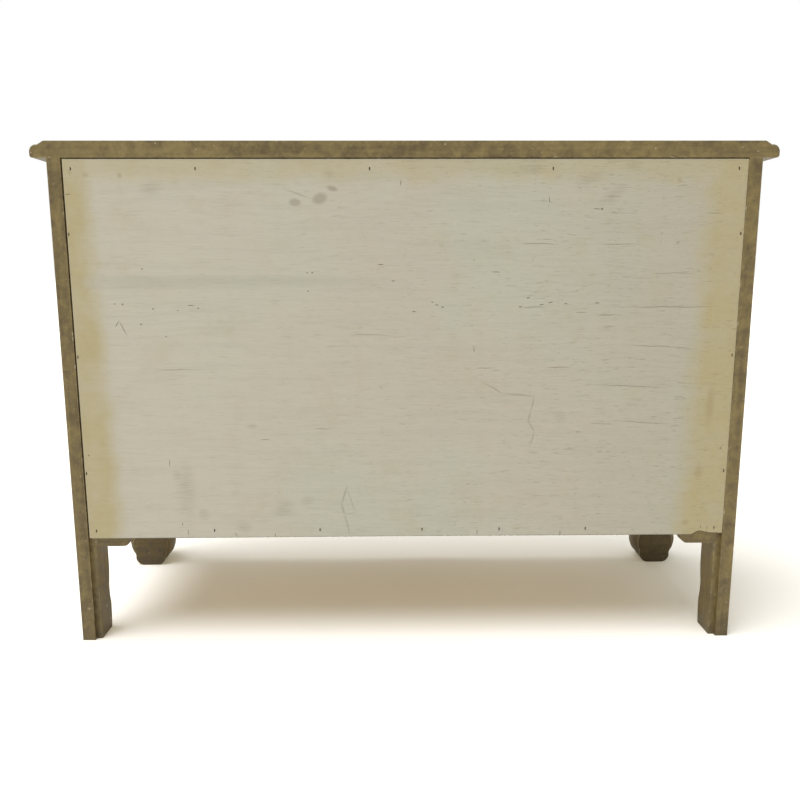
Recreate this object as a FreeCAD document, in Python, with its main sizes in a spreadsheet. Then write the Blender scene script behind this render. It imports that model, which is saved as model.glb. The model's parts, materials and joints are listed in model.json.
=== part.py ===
import FreeCAD, Part
import math
import os
from types import SimpleNamespace

import Sketcher

# A painted low cupboard (chiffonier): two drawers over two panelled doors, on two
# square back legs and two carved front legs. Millimetres, +Z up, front towards -Y,
# right-hand side towards +X, origin on the floor at the middle of the footprint.

# --------------------------------------------------------------------------
# Driving dimensions
# --------------------------------------------------------------------------

SIZES = {
    # overall
    "top_width": 1200.0,
    "top_depth": 424.0,
    "cabinet_height": 850.0,
    "top_thickness": 26.0,
    "side_overhang": 26.0,
    "front_overhang": 26.0,
    "top_corner_cut": 30.0,
    # moulded edge of the top, measured in from the edge and down from the face
    "mould_slope_start": 23.0,
    "mould_slope_end": 13.0,
    "mould_step": 4.0,
    "mould_slope_drop": 6.0,
    "mould_round_drop": 17.0,
    "mould_nose_drop": 22.0,
    "mould_round_radius": 11.5,
    # corner posts and legs
    "front_post_size": 62.0,
    "front_post_cant": 22.0,
    "rear_post_width": 32.0,
    "rear_post_depth": 58.5,
    "leg_height": 172.0,
    "foot_radius": 52.0,
    "foot_centre_height": 46.0,
    "foot_inset": 12.0,
    "foot_block": 74.0,
    "foot_sole": 48.0,
    "ankle_width": 50.0,
    "ankle_height": 112.0,
    "ankle_lean": 6.0,
    "knee_width": 73.0,
    "knee_height": 180.0,
    "leg_corner_radius": 9.0,
    "rear_leg_waist": 5.0,
    "rear_leg_belly": 1.5,
    "rear_leg_turn_height": 120.0,
    "rear_leg_waist_height": 85.0,
    "rear_leg_belly_height": 47.0,
    "rear_leg_shoulder_radius": 155.0,
    "rear_leg_waist_radius": 95.0,
    "rear_leg_foot_radius": 260.0,
    # back panel and the rabbet that holds it
    "back_lip": 22.0,
    "rabbet_depth": 7.0,
    "back_panel_thickness": 6.0,
    "back_panel_bottom": 191.0,
    "back_panel_top_gap": 2.0,
    "back_panel_right_gap": 2.4,
    "back_panel_left_gap": 0.3,
    "back_rail_thickness": 20.0,
    "back_rail_height": 40.0,
    "back_rail_lift": 2.0,
    "ear_length": 60.0,
    "ear_radius": 12.0,
    # rails, tenons and boards
    "rail_setback": 2.0,
    "side_rail_thickness": 22.0,
    "side_top_rail_height": 44.0,
    "side_bottom_rail_top": 236.0,
    "side_rail_end_drop": 14.0,
    "side_rail_arch_rise": 20.0,
    "front_rail_depth": 35.0,
    "front_rail_height": 18.0,
    "apron_thickness": 22.0,
    "apron_end_height": 150.0,
    "apron_rise": 24.0,
    "apron_shell_drop": 26.0,
    "apron_shell_width": 150.0,
    "tenon_length": 20.0,
    "tenon_thickness": 8.0,
    "tenon_shoulder": 5.0,
    "floor_height": 214.0,
    "floor_thickness": 18.0,
    "drawer_floor_height": 603.0,
    "divider_thickness": 18.0,
    "shelf_height": 414.0,
    "shelf_thickness": 16.0,
    "shelf_clearance": 1.5,
    "cleat_width": 20.0,
    "cleat_height": 20.0,
    # fielded side panels
    "panel_tongue": 8.0,
    "panel_groove": 8.0,
    "panel_field": 4.0,
    "panel_bevel": 22.0,
    "panel_margin": 2.0,
    # doors
    "door_gap": 1.5,
    "door_thickness": 20.0,
    "stile_width": 56.0,
    "door_top_rail_height": 52.0,
    "door_bottom_rail_height": 66.0,
    "door_arch_rise": 24.0,
    "door_tenon_length": 28.0,
    # hinges
    "hinge_barrel_radius": 4.5,
    "hinge_half_height": 34.0,
    "hinge_leaf_thickness": 1.6,
    "hinge_leaf_depth": 22.0,
    "hinge_pin_radius": 2.0,
    "hinge_pin_clearance": 0.05,
    "hinge_end_gap": 0.4,
    "hinge_standoff": 0.5,
    "hinge_inset": 62.0,
    "finial_radius": 3.8,
    "finial_rise": 2.3,
    # lock, key and bolts
    "lock_height": 432.0,
    "lock_case_width": 48.0,
    "lock_case_height": 54.0,
    "lock_case_depth": 12.0,
    "lock_wall": 1.5,
    "lock_bolt_height": 12.0,
    "lock_bolt_thickness": 5.0,
    "lock_bolt_length": 38.0,
    "lock_throw": 9.0,
    "lock_bit": 9.0,
    "lock_bit_thickness": 2.4,
    "lock_bit_clearance": 1.0,
    "key_radius": 2.6,
    "key_collar_radius": 3.9,
    "key_hole_radius": 3.1,
    "key_reach": 29.0,
    "key_bow_radius": 8.5,
    "key_bow_wire": 2.2,
    "plate_width": 22.0,
    "plate_height": 92.0,
    "plate_thickness": 1.6,
    "door_bolt_radius": 3.0,
    "door_bolt_length": 92.0,
    "door_bolt_throw": 12.0,
    "door_bolt_clearance": 0.4,
    "door_bolt_guide_clearance": 0.1,
    "door_bolt_knob_radius": 3.6,
    "door_bolt_knob_lift": 37.0,
    "bolt_bracket_width": 18.0,
    "bolt_bracket_height": 8.4,
    "bolt_bracket_lift": 11.0,
    "bolt_bracket_pitch": 62.5,
    "slide_clearance": 0.3,
    # drawers
    "drawer_gap": 1.5,
    "drawer_front_thickness": 20.0,
    "drawer_field": 4.0,
    "drawer_bevel": 14.0,
    "drawer_side_thickness": 10.0,
    "drawer_head_room": 22.0,
    "drawer_depth": 362.0,
    "drawer_lap": 8.0,
    "drawer_bottom_thickness": 6.0,
    "drawer_bottom_lift": 9.0,
    "drawer_running_gap": 0.3,
    "guide_height": 22.0,
    "stop_height": 6.0,
    "stop_width": 40.0,
    # bail pulls
    "pull_spacing": 76.0,
    "pull_rise": 10.0,
    "rosette_radius": 12.0,
    "rosette_thickness": 3.0,
    "pull_neck_radius": 3.6,
    "pull_ball_radius": 6.0,
    "pull_stand": 16.0,
    "bail_radius": 2.6,
    "bail_clearance": 0.06,
    "bail_end_gap": 1.0,
    "bail_seat": 4.8,
    "bail_drop": 36.0,
    "bail_shoulder": 6.0,
    "bail_corner": 20.0,
    # fastenings
    "nail_shank_radius": 0.7,
    "nail_head_width": 1.8,
    "nail_head_height": 5.0,
    "nail_head_thickness": 0.8,
    "nail_length": 20.0,
    "nail_end_distance": 5.0,
    "nail_bottom_distance": 11.0,
    "nail_top_distance": 17.0,
    "side_nail_pitch": 205.0,
    "screw_radius": 2.2,
    "screw_head_radius": 4.2,
    "screw_head_depth": 3.0,
    "screw_length": 34.0,
    "screw_end_distance": 50.0,
}

doc = FreeCAD.newDocument("Chiffonier")
sheet = doc.addObject("Spreadsheet::Sheet", "Sizes")
for row, (alias, number) in enumerate(SIZES.items(), start=1):
    sheet.set(f"A{row}", alias)
    sheet.set(f"B{row}", str(number))
    sheet.setAlias(f"B{row}", alias)
doc.recompute()


class Size:
    """A length that carries its spreadsheet expression together with its value."""

    def __init__(self, text, number):
        self.text = text
        self.number = number

    def __float__(self):
        return self.number

    def __neg__(self):
        return Size(f"(-{self.text})", -self.number)

    def __add__(self, other):
        other = as_size(other)
        return Size(f"({self.text} + {other.text})", self.number + other.number)

    def __sub__(self, other):
        other = as_size(other)
        return Size(f"({self.text} - {other.text})", self.number - other.number)

    def __mul__(self, other):
        other = as_size(other)
        return Size(f"({self.text} * {other.text})", self.number * other.number)

    def __truediv__(self, other):
        other = as_size(other)
        return Size(f"({self.text} / {other.text})", self.number / other.number)

    __radd__ = __add__
    __rmul__ = __mul__

    def __rsub__(self, other):
        return as_size(other) - self


def as_size(value):
    """A plain number becomes a Size too."""
    if isinstance(value, Size):
        return value
    return Size(f"({float(value)})", float(value))


S = SimpleNamespace(**{
    alias: Size(f"Sizes.{alias}", float(sheet.get(alias))) for alias in SIZES
})

# --------------------------------------------------------------------------
# Places worked out from the driving dimensions
# --------------------------------------------------------------------------

half_width = S.top_width / 2 - S.side_overhang
carcass_depth = S.top_depth - S.front_overhang
foot_projection = S.foot_radius - S.foot_inset
back_y = (carcass_depth + foot_projection) / 2
front_y = back_y - carcass_depth
top_front_y = front_y - S.front_overhang
under_top = S.cabinet_height - S.top_thickness

front_post_inner = half_width - S.front_post_size
front_post_back = front_y + S.front_post_size
rear_post_inner = half_width - S.rear_post_width
rear_post_front = back_y - S.rear_post_depth

rabbet_edge = half_width - S.back_lip
rabbet_floor = back_y - S.rabbet_depth
back_rail_front = rabbet_floor - S.back_rail_thickness
back_panel_face = rabbet_floor + S.back_panel_thickness

face_y = front_y + S.rail_setback
apron_back = face_y + S.apron_thickness
front_rail_back = face_y + S.front_rail_depth

side_rail_outer = half_width - S.rail_setback
side_rail_inner = side_rail_outer - S.side_rail_thickness
side_tenon_inner = side_rail_inner + (S.side_rail_thickness - S.tenon_thickness) / 2
side_tenon_outer = side_tenon_inner + S.tenon_thickness
side_panel_inner = side_tenon_inner
side_panel_outer = side_panel_inner + S.panel_tongue

floor_underside = S.floor_height - S.floor_thickness
drawer_floor_underside = S.drawer_floor_height - S.front_rail_height
drawer_top = under_top - S.front_rail_height
shelf_underside = S.shelf_height - S.shelf_thickness

door_back = face_y + S.door_thickness
door_bottom = S.floor_height + S.door_gap
door_top = drawer_floor_underside - S.door_gap
door_inner_x = S.door_gap
door_outer_x = front_post_inner - S.door_gap
door_tongue_front = face_y + (S.door_thickness - S.panel_tongue) / 2
door_tongue_back = door_tongue_front + S.panel_tongue
lock_x = door_inner_x + S.stile_width / 2

hinge_x = front_post_inner - S.door_gap / 2
hinge_y = front_y - S.hinge_barrel_radius - S.hinge_standoff

drawer_inner_x = S.divider_thickness / 2 + S.drawer_gap
drawer_outer_x = front_post_inner - S.drawer_gap
drawer_back = face_y + S.drawer_depth
drawer_box_bottom = S.drawer_floor_height + S.drawer_running_gap
drawer_box_top = drawer_top - S.drawer_head_room
drawer_bottom_z = drawer_box_bottom + S.drawer_bottom_lift
pull_x = (drawer_inner_x + drawer_outer_x) / 2
pull_y = face_y - S.pull_stand
pull_z = (S.drawer_floor_height + drawer_top) / 2 + S.pull_rise

RIGHT = 1
LEFT = -1
SIDES = {"right": RIGHT, "left": LEFT}
parts = []

# --------------------------------------------------------------------------
# Building helpers
# --------------------------------------------------------------------------


def point(x, y, z):
    return FreeCAD.Vector(float(x), float(y), float(z))


def bind(obj, prop, size):
    """Tie one property of an object to the sizes sheet."""
    obj.setExpression(prop, as_size(size).text)


def place(obj, x, y, z, rotation=None):
    """Put an object at a bound position, turned by a fixed rotation."""
    obj.Placement = FreeCAD.Placement(point(x, y, z), rotation or FreeCAD.Rotation())
    for axis, size in zip("xyz", (x, y, z)):
        bind(obj, f"Placement.Base.{axis}", size)
    return obj


def keep(obj, label):
    """Make an object one of the finished pieces, under its own name."""
    obj.Label = label
    parts.append(obj)
    return obj


def span(side, low, high):
    """Limits along X for one side, given for the right-hand side."""
    return (low, high) if side == RIGHT else (-as_size(high), -as_size(low))


def board(name, x, y, z):
    """A rectangular piece between (low, high) limits along each axis."""
    obj = doc.addObject("Part::Box", name)
    low_corner = []
    for prop, (low, high) in zip(("Length", "Width", "Height"), (x, y, z)):
        low, high = as_size(low), as_size(high)
        bind(obj, prop, high - low)
        low_corner.append(low)
    return place(obj, *low_corner)


def rod(name, radius, length, centre, direction):
    """A round bar that starts at a point and runs along X, Y or Z."""
    obj = doc.addObject("Part::Cylinder", name)
    bind(obj, "Radius", radius)
    bind(obj, "Height", length)
    turn = FreeCAD.Rotation(FreeCAD.Vector(0, 0, 1), FreeCAD.Vector(*direction))
    return place(obj, *centre, turn)


def fuse(name, *members):
    obj = doc.addObject("Part::MultiFuse", name)
    obj.Shapes = list(members)
    return obj


def cut(name, base, *tools):
    """Take each tool out of the base in turn."""
    for index, tool in enumerate(tools):
        last = index == len(tools) - 1
        step = doc.addObject("Part::Cut", name if last else f"{name}_step{index}")
        step.Base = base
        step.Tool = tool
        base = step
    return base


def group(name, *members):
    """Separate solids kept together under one name."""
    obj = doc.addObject("Part::Compound", name)
    obj.Links = list(members)
    return obj


def origin_plane(body, role):
    return next(f for f in body.Origin.OriginFeatures if f.Role == role)


def segment(start, end, radius):
    """A straight or round edge; a positive radius turns left from start to end."""
    a, b = FreeCAD.Vector(*start, 0), FreeCAD.Vector(*end, 0)
    if radius is None:
        return Part.LineSegment(a, b), True
    chord = b - a
    size = abs(float(radius))
    rise = math.sqrt(max(size * size - (chord.Length / 2) ** 2, 0.0))
    left = FreeCAD.Vector(-chord.y, chord.x, 0).normalize()
    turns_left = float(radius) > 0
    centre = (a + b) * 0.5 + left * (rise if turns_left else -rise)
    angles = [math.atan2(p.y - centre.y, p.x - centre.x) for p in (a, b)]
    first, second = angles if turns_left else reversed(angles)
    circle = Part.Circle(centre, FreeCAD.Vector(0, 0, 1), size)
    return Part.ArcOfCircle(circle, first, second), turns_left


def sketch_outline(body, name, plane, points, offset=0.0, closed=True):
    """A sketch of lines and arcs through points (u, v) or (u, v, radius to the next)."""
    sketch = body.newObject("Sketcher::SketchObject", name)
    sketch.AttachmentSupport = [(origin_plane(body, plane), "")]
    sketch.MapMode = "FlatFace"
    bind(sketch, "AttachmentOffset.Base.z", offset)
    flat = [(float(p[0]), float(p[1])) for p in points]
    count = len(points) if closed else len(points) - 1
    ends = []
    for index in range(count):
        following = (index + 1) % len(points)
        radius = points[index][2] if len(points[index]) > 2 else None
        edge, forward = segment(flat[index], flat[following], radius)
        geo = sketch.addGeometry(edge, False)
        ends.append((geo, 1, 2) if forward else (geo, 2, 1))
        if radius is not None:
            size = as_size(radius)
            size = size if size.number > 0 else -size
            number = sketch.addConstraint(Sketcher.Constraint("Radius", geo, size.number))
            sketch.setExpression(f"Constraints[{number}]", size.text)
    for index in range(count if closed else count - 1):
        following = (index + 1) % count
        sketch.addConstraint(Sketcher.Constraint(
            "Coincident", ends[index][0], ends[index][2],
            ends[following][0], ends[following][1]))
    for index, vertex in enumerate(points):
        geo, end = ends[index][:2] if index < count else (ends[-1][0], ends[-1][2])
        for kind, size in zip(("DistanceX", "DistanceY"), vertex[:2]):
            size = as_size(size)
            number = sketch.addConstraint(
                Sketcher.Constraint(kind, -1, 1, geo, end, size.number))
            sketch.setExpression(f"Constraints[{number}]", size.text)
    return sketch


def mirrored(points, side):
    """An outline drawn for the right-hand side, turned over for the left."""
    if side == RIGHT:
        return points
    return [(-as_size(p[0]), p[1], *(-as_size(r) for r in p[2:])) for p in points]


def prism(name, plane, points, low, high):
    """A body padded from an outline, between two limits across the sketch plane."""
    body = doc.addObject("PartDesign::Body", name)
    low, high = as_size(low), as_size(high)
    start = -high if plane == "XZ_Plane" else low
    sketch = sketch_outline(body, f"{name}_outline", plane, points, start)
    pad = body.newObject("PartDesign::Pad", f"{name}_pad")
    pad.Profile = sketch
    bind(pad, "Length", high - low)
    return body


def turned(name, points, centre, direction):
    """A turned body: radius and height points spun about an axis from a centre."""
    body = doc.addObject("PartDesign::Body", name)
    sketch = sketch_outline(body, f"{name}_outline", "XZ_Plane", points)
    spin = body.newObject("PartDesign::Revolution", f"{name}_spin")
    spin.Profile = sketch
    spin.ReferenceAxis = (sketch, ["V_Axis"])
    spin.Angle = 360.0
    turn = FreeCAD.Rotation(FreeCAD.Vector(0, 0, 1), FreeCAD.Vector(*direction))
    return place(body, *centre, turn)


def frustum(name, small, large, low, high):
    """A bevelled field: (x0, x1, z0, z1) at the low Y face, and at the high Y face."""
    obj = doc.addObject("Part::Wedge", name)
    bind(obj, "Ymin", low)
    bind(obj, "Ymax", high)
    for prop, size in zip(("Xmin", "Xmax", "Zmin", "Zmax"), small):
        bind(obj, prop, size)
    for prop, size in zip(("X2min", "X2max", "Z2min", "Z2max"), large):
        bind(obj, prop, size)
    return obj


def shape_feature(name, shape):
    """A piece whose shape is worked out here from the sheet's values."""
    obj = doc.addObject("Part::Feature", name)
    obj.Shape = shape
    return obj


# --------------------------------------------------------------------------
# Top board
# --------------------------------------------------------------------------


def moulded_slab(name, reach, inner, angle):
    """A wide slab whose outer edge, at a distance from the origin, is moulded."""
    reach, top = as_size(reach), S.cabinet_height
    run = S.top_width * 2
    outline = [
        (inner, under_top),
        (reach - (S.top_thickness - S.mould_nose_drop), under_top,
         S.top_thickness - S.mould_nose_drop),
        (reach, top - S.mould_nose_drop),
        (reach, top - S.mould_round_drop, S.mould_round_radius),
        (reach - (S.mould_slope_end - S.mould_step), top - S.mould_slope_drop),
        (reach - S.mould_slope_end, top - S.mould_slope_drop),
        (reach - S.mould_slope_start, top),
        (inner, top),
    ]
    body = prism(name, "XZ_Plane", outline, -run, run)
    body.Placement = FreeCAD.Placement(
        FreeCAD.Vector(), FreeCAD.Rotation(FreeCAD.Vector(0, 0, 1), angle))
    return body


def make_top_board():
    half_top = S.top_width / 2
    far = -S.top_width
    corner_reach = (half_top - top_front_y - S.top_corner_cut) / math.sqrt(2)
    slabs = [
        moulded_slab("top_right_edge", half_top, far, 0),
        moulded_slab("top_left_edge", half_top, far, 180),
        moulded_slab("top_front_edge", -top_front_y, -back_y, -90),
        moulded_slab("top_right_corner", corner_reach, far, -45),
        moulded_slab("top_left_corner", corner_reach, far, -135),
    ]
    board_shape = doc.addObject("Part::MultiCommon", "top_blank")
    board_shape.Shapes = slabs
    return board_shape


# --------------------------------------------------------------------------
# Rails between the posts
# --------------------------------------------------------------------------


def cross_rail(name, inner, y, z, shoulder):
    """A rail along X with a stub tenon into the post at each end."""
    body = board(f"{name}_body", (-inner, inner), y, z)
    middle = (y[0] + y[1]) / 2
    reach = inner + S.tenon_length
    tenons = board(
        f"{name}_tenons", (-reach, reach),
        (middle - S.tenon_thickness / 2, middle + S.tenon_thickness / 2),
        (z[0] + shoulder, z[1] - shoulder))
    return fuse(name, body, tenons)


def side_tenons(name, side, z):
    """The tongue that runs through a side rail and out into both posts."""
    return board(
        name, span(side, side_tenon_inner, side_tenon_outer),
        (front_post_back - S.tenon_length, rear_post_front + S.tenon_length), z)


def make_side_top_rail(side, name):
    low = under_top - S.side_top_rail_height
    body = board(
        f"{name}_body", span(side, side_rail_inner, side_rail_outer),
        (front_post_back, rear_post_front), (low, under_top))
    return fuse(f"{name}_blank", body, side_tenons(
        f"{name}_tenons", side, (low + S.tenon_shoulder, under_top - S.tenon_shoulder)))


def make_side_bottom_rail(side, name):
    """The lower side rail, whose bottom edge rises in a shallow arch."""
    flat = S.front_post_size / 3
    start, end = front_post_back + flat, rear_post_front - flat
    rise = S.side_rail_arch_rise
    low = S.leg_height - S.side_rail_end_drop
    half = (end - start) / 2
    radius = (half * half + rise * rise) / (rise * 2)
    outline = [
        (front_post_back, low),
        (start, low, -radius),
        (end, low),
        (rear_post_front, low),
        (rear_post_front, S.side_bottom_rail_top),
        (front_post_back, S.side_bottom_rail_top),
    ]
    body = prism(f"{name}_body", "YZ_Plane", outline,
                 *span(side, side_rail_inner, side_rail_outer))
    return fuse(f"{name}_blank", body, side_tenons(
        f"{name}_tenons", side,
        (low + rise + S.tenon_shoulder, S.side_bottom_rail_top - S.tenon_shoulder * 2)))


def make_front_apron():
    """The shaped rail under the doors: a hanging centre between two low arches."""
    low, high = S.apron_end_height, S.apron_end_height + S.apron_rise
    shell = S.apron_shell_width / 2
    flat = S.front_post_size / 2
    inner = front_post_inner
    half = (inner - flat - shell) / 2
    side_radius = (half * half + S.apron_rise * S.apron_rise) / (S.apron_rise * 2)
    drop = S.apron_shell_drop
    shell_radius = (shell * shell + drop * drop) / (drop * 2)
    outline = [
        (-inner, low),
        (-inner + flat, low, -side_radius),
        (-shell, low, shell_radius),
        (shell, low, -side_radius),
        (inner - flat, low),
        (inner, low),
        (inner, S.floor_height),
        (-inner, S.floor_height),
    ]
    body = prism("front_apron_body", "XZ_Plane", outline, face_y, apron_back)
    middle = (face_y + apron_back) / 2
    reach = inner + S.tenon_length
    tenons = board(
        "front_apron_tenons", (-reach, reach),
        (middle - S.tenon_thickness / 2, middle + S.tenon_thickness / 2),
        (high + S.tenon_shoulder, S.floor_height - S.tenon_shoulder))
    return fuse("front_apron_blank", body, tenons)


def make_back_bottom_rail():
    """The rail under the back panel, with a rounded ear hanging beside each leg."""
    inner, radius = rear_post_inner, S.ear_radius
    low = S.leg_height
    lifted = S.back_panel_bottom + S.back_rail_lift
    top = lifted + S.back_rail_height
    ear = inner - S.ear_length
    outline = [
        (-inner, low),
        (-ear - radius, low, radius),
        (-ear, low + radius),
        (-ear, lifted),
        (ear, lifted),
        (ear, low + radius, radius),
        (ear + radius, low),
        (inner, low),
        (inner, top),
        (-inner, top),
    ]
    body = prism("back_bottom_rail_body", "XZ_Plane", outline, back_rail_front, rabbet_floor)
    middle = (back_rail_front + rabbet_floor) / 2
    reach = inner + S.tenon_length
    tenons = board(
        "back_bottom_rail_tenons", (-reach, reach),
        (middle - S.tenon_thickness / 2, middle + S.tenon_thickness / 2),
        (lifted + S.tenon_shoulder, top - S.tenon_shoulder))
    return fuse("back_bottom_rail_blank", body, tenons)


# --------------------------------------------------------------------------
# Posts and legs
# --------------------------------------------------------------------------


def rounded_square(half, radius, centre_x, centre_y, height):
    """A square wire with round corners, lying level at a height."""
    inner = half - radius
    corners = [(1, 1), (-1, 1), (-1, -1), (1, -1)]
    edges = []
    for index, (sx, sy) in enumerate(corners):
        turn = math.radians(90 * index)
        arc_points = []
        for angle in (turn, turn + math.pi / 4, turn + math.pi / 2):
            arc_points.append(FreeCAD.Vector(
                centre_x + sx * inner + radius * math.cos(angle),
                centre_y + sy * inner + radius * math.sin(angle), height))
        edges.append(Part.Arc(*arc_points).toShape())
        next_x, next_y = corners[(index + 1) % 4]
        after = turn + math.pi / 2
        following = FreeCAD.Vector(
            centre_x + next_x * inner + radius * math.cos(after),
            centre_y + next_y * inner + radius * math.sin(after), height)
        edges.append(Part.makeLine(arc_points[-1], following))
    return Part.Wire(edges)


def front_leg_shape(side):
    """The carved leg: a knee on the post, a slim ankle and a round scroll foot."""
    inset = float(S.foot_inset)
    post_half = float(S.front_post_size) / 2
    foot_half = float(S.foot_block) / 2
    foot_z = float(S.foot_centre_height)
    knee_half = float(S.knee_width) / 2
    sole = float(S.foot_sole) / 2
    corner = float(S.leg_corner_radius)
    foot_lean = post_half - inset
    sections = [
        (0.0, sole, foot_lean),
        (foot_z / 6, (sole + foot_half) / 2 + corner / 4, foot_lean),
        (foot_z / 2, foot_half, foot_lean),
        (foot_z * 5 / 4, foot_half, foot_lean),
        (float(S.ankle_height), float(S.ankle_width) / 2, float(S.ankle_lean)),
        (float(S.knee_height), knee_half, knee_half - post_half),
        (float(S.floor_height), post_half, 0.0),
    ]
    post_x, post_y = float(half_width) - post_half, float(front_y) + post_half
    wires = [
        rounded_square(half, min(corner, half / 2), post_x + lean, post_y - lean, height)
        for height, half, lean in sections
    ]
    leg = Part.makeLoft(wires, True)
    # the knee stays flush with the post's two inner faces, where the rails meet it
    reach, low = post_half * 4, float(S.ankle_height)
    beside = Part.makeBox(reach, reach * 2, reach, FreeCAD.Vector(
        post_x - post_half - reach, post_y - reach, low))
    behind = Part.makeBox(reach * 2, reach, reach, FreeCAD.Vector(
        post_x - reach, post_y + post_half, low))
    leg = leg.cut(beside).cut(behind)
    radius = float(S.foot_radius)
    foot_x, foot_y = post_x + foot_lean, post_y - foot_lean
    ball = Part.makeSphere(radius, FreeCAD.Vector(foot_x, foot_y, foot_z))
    room = Part.makeBox(
        radius * 2, radius + foot_half, foot_z + radius,
        FreeCAD.Vector(foot_x - radius, foot_y - radius, 0))
    leg = leg.fuse(ball.common(room))
    if side == LEFT:
        leg = leg.mirror(FreeCAD.Vector(), FreeCAD.Vector(1, 0, 0))
    return leg


def make_front_leg(side, name):
    cant = S.front_post_cant
    outline = [
        (front_post_inner, front_y),
        (half_width - cant, front_y),
        (half_width, front_y + cant),
        (half_width, front_post_back),
        (front_post_inner, front_post_back),
    ]
    post = prism(f"{name}_post", "XY_Plane", mirrored(outline, side),
                 S.apron_end_height, under_top)
    leg = shape_feature(f"{name}_carving", front_leg_shape(side))
    return fuse(f"{name}_blank", post, leg)


def make_rear_post(side, name):
    """A post and leg in one, slightly waisted in front, rabbeted for the back."""
    front, waist = rear_post_front, rear_post_front + S.rear_leg_waist
    outline = [
        (back_y, 0),
        (back_y, under_top),
        (front, under_top),
        (front, S.rear_leg_turn_height, S.rear_leg_shoulder_radius),
        (waist, S.rear_leg_waist_height, -S.rear_leg_waist_radius),
        (front + S.rear_leg_belly, S.rear_leg_belly_height, S.rear_leg_foot_radius),
        (waist, 0),
    ]
    post = prism(f"{name}_post", "YZ_Plane", outline,
                 *span(side, rear_post_inner, half_width))
    rabbet = board(f"{name}_rabbet", span(side, rear_post_inner, rabbet_edge),
                   (rabbet_floor, back_y), (0, under_top))
    return cut(f"{name}_blank", post, rabbet)


# --------------------------------------------------------------------------
# Panels and boards
# --------------------------------------------------------------------------


def make_side_panel(side, name):
    """A fielded panel held in grooves round the side frame."""
    low_z, high_z = S.side_bottom_rail_top, under_top - S.side_top_rail_height
    tongue = board(
        f"{name}_tongue", span(side, side_panel_inner, side_panel_outer),
        (front_post_back - S.panel_groove, rear_post_front + S.panel_groove),
        (low_z - S.panel_groove, high_z + S.panel_groove))
    edge, bevel = S.panel_margin, S.panel_margin + S.panel_bevel
    field_x = side_panel_outer + S.panel_field
    low_y, high_y = front_post_back, rear_post_front
    if side == RIGHT:
        y_limits = (low_y, high_y)
    else:
        y_limits = (-high_y, -low_y)
    field = frustum(
        f"{name}_field",
        (y_limits[0] + bevel, y_limits[1] - bevel, low_z + bevel, high_z - bevel),
        (y_limits[0] + edge, y_limits[1] - edge, low_z + edge, high_z - edge),
        -field_x, -side_panel_outer)
    field.Placement = FreeCAD.Placement(
        FreeCAD.Vector(), FreeCAD.Rotation(FreeCAD.Vector(0, 0, 1), 90 * side))
    return fuse(name, tongue, field)


def notched_board(name, half, front, back, z, post_clearance=0.0):
    """A full-width board cut round the four posts where it meets them."""
    gap = as_size(post_clearance)
    front_in, rear_in = front_post_inner - gap, rear_post_inner - gap
    front_step, rear_step = front_post_back + gap, rear_post_front - gap
    right = [(half, front_step), (half, rear_step), (rear_in, rear_step), (rear_in, back)]
    if float(front) < float(front_post_back):
        right = [(front_in, front), (front_in, front_step)] + right
    else:
        right[0] = (half, front)
    left = [(-x, y) for x, y in reversed(right)]
    return prism(name, "XY_Plane", right + left, *z)


def make_back_panel():
    return board(
        "back_panel_blank",
        (-rabbet_edge + S.back_panel_left_gap, rabbet_edge - S.back_panel_right_gap),
        (rabbet_floor, back_panel_face),
        (S.back_panel_bottom, under_top - S.back_panel_top_gap))


def arched_wire(x0, x1, z0, z1, rise, y):
    """A rectangle whose top edge is a shallow arch, standing at a depth Y."""
    corners = [point(x0, y, z1), point(x0, y, z0), point(x1, y, z0), point(x1, y, z1)]
    crown = point((float(x0) + float(x1)) / 2, y, float(z1) + float(rise))
    edges = [Part.makeLine(a, b) for a, b in zip(corners, corners[1:])]
    edges.append(Part.Arc(corners[3], crown, corners[0]).toShape())
    return Part.Wire(edges)


def make_door_panel(side, name):
    """A door panel with a raised field that follows the arch of the top rail."""
    x0 = door_inner_x + S.stile_width
    x1 = door_outer_x - S.stile_width
    z0 = door_bottom + S.door_bottom_rail_height
    z1 = door_top - S.door_top_rail_height
    groove = S.panel_groove
    rise = S.door_arch_rise
    tongue = board(
        f"{name}_tongue", span(side, x0 - groove, x1 + groove),
        (door_tongue_front, door_tongue_back), (z0 - groove, z1 + rise + groove))
    low, high = span(side, x0, x1)
    edge, bevel = S.panel_margin, S.panel_margin + S.panel_bevel
    wires = []
    for inset, depth in ((edge, door_tongue_front), (bevel, door_tongue_front - S.panel_field)):
        wires.append(arched_wire(
            low + inset, high - inset, z0 + inset, z1 - inset, rise, depth))
    field = shape_feature(f"{name}_field", Part.makeLoft(wires, True, True))
    return fuse(name, tongue, field)


# --------------------------------------------------------------------------
# Hinges
# --------------------------------------------------------------------------

hinge_heights = {
    "lower": door_bottom + S.hinge_inset,
    "upper": door_top - S.hinge_inset,
}


def hinge_half(name, side, z0, z1, leaf_x, bore, finial_z):
    """One half of a lift-off hinge: a barrel, its leaf, a ball finial and a bore."""
    centre_x = hinge_x * side
    barrel = rod(f"{name}_barrel", S.hinge_barrel_radius, z1 - z0,
                 (centre_x, hinge_y, z0), (0, 0, 1))
    leaf = board(f"{name}_leaf", span(side, *leaf_x),
                 (hinge_y, face_y + S.hinge_leaf_depth), (z0, z1))
    ball = doc.addObject("Part::Sphere", f"{name}_finial")
    bind(ball, "Radius", S.finial_radius)
    place(ball, centre_x, hinge_y, finial_z)
    hole = rod(f"{name}_bore", bore[0], bore[2] - bore[1],
               (centre_x, hinge_y, bore[1]), (0, 0, 1))
    return cut(name, fuse(f"{name}_solid", barrel, leaf, ball), hole)


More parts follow.
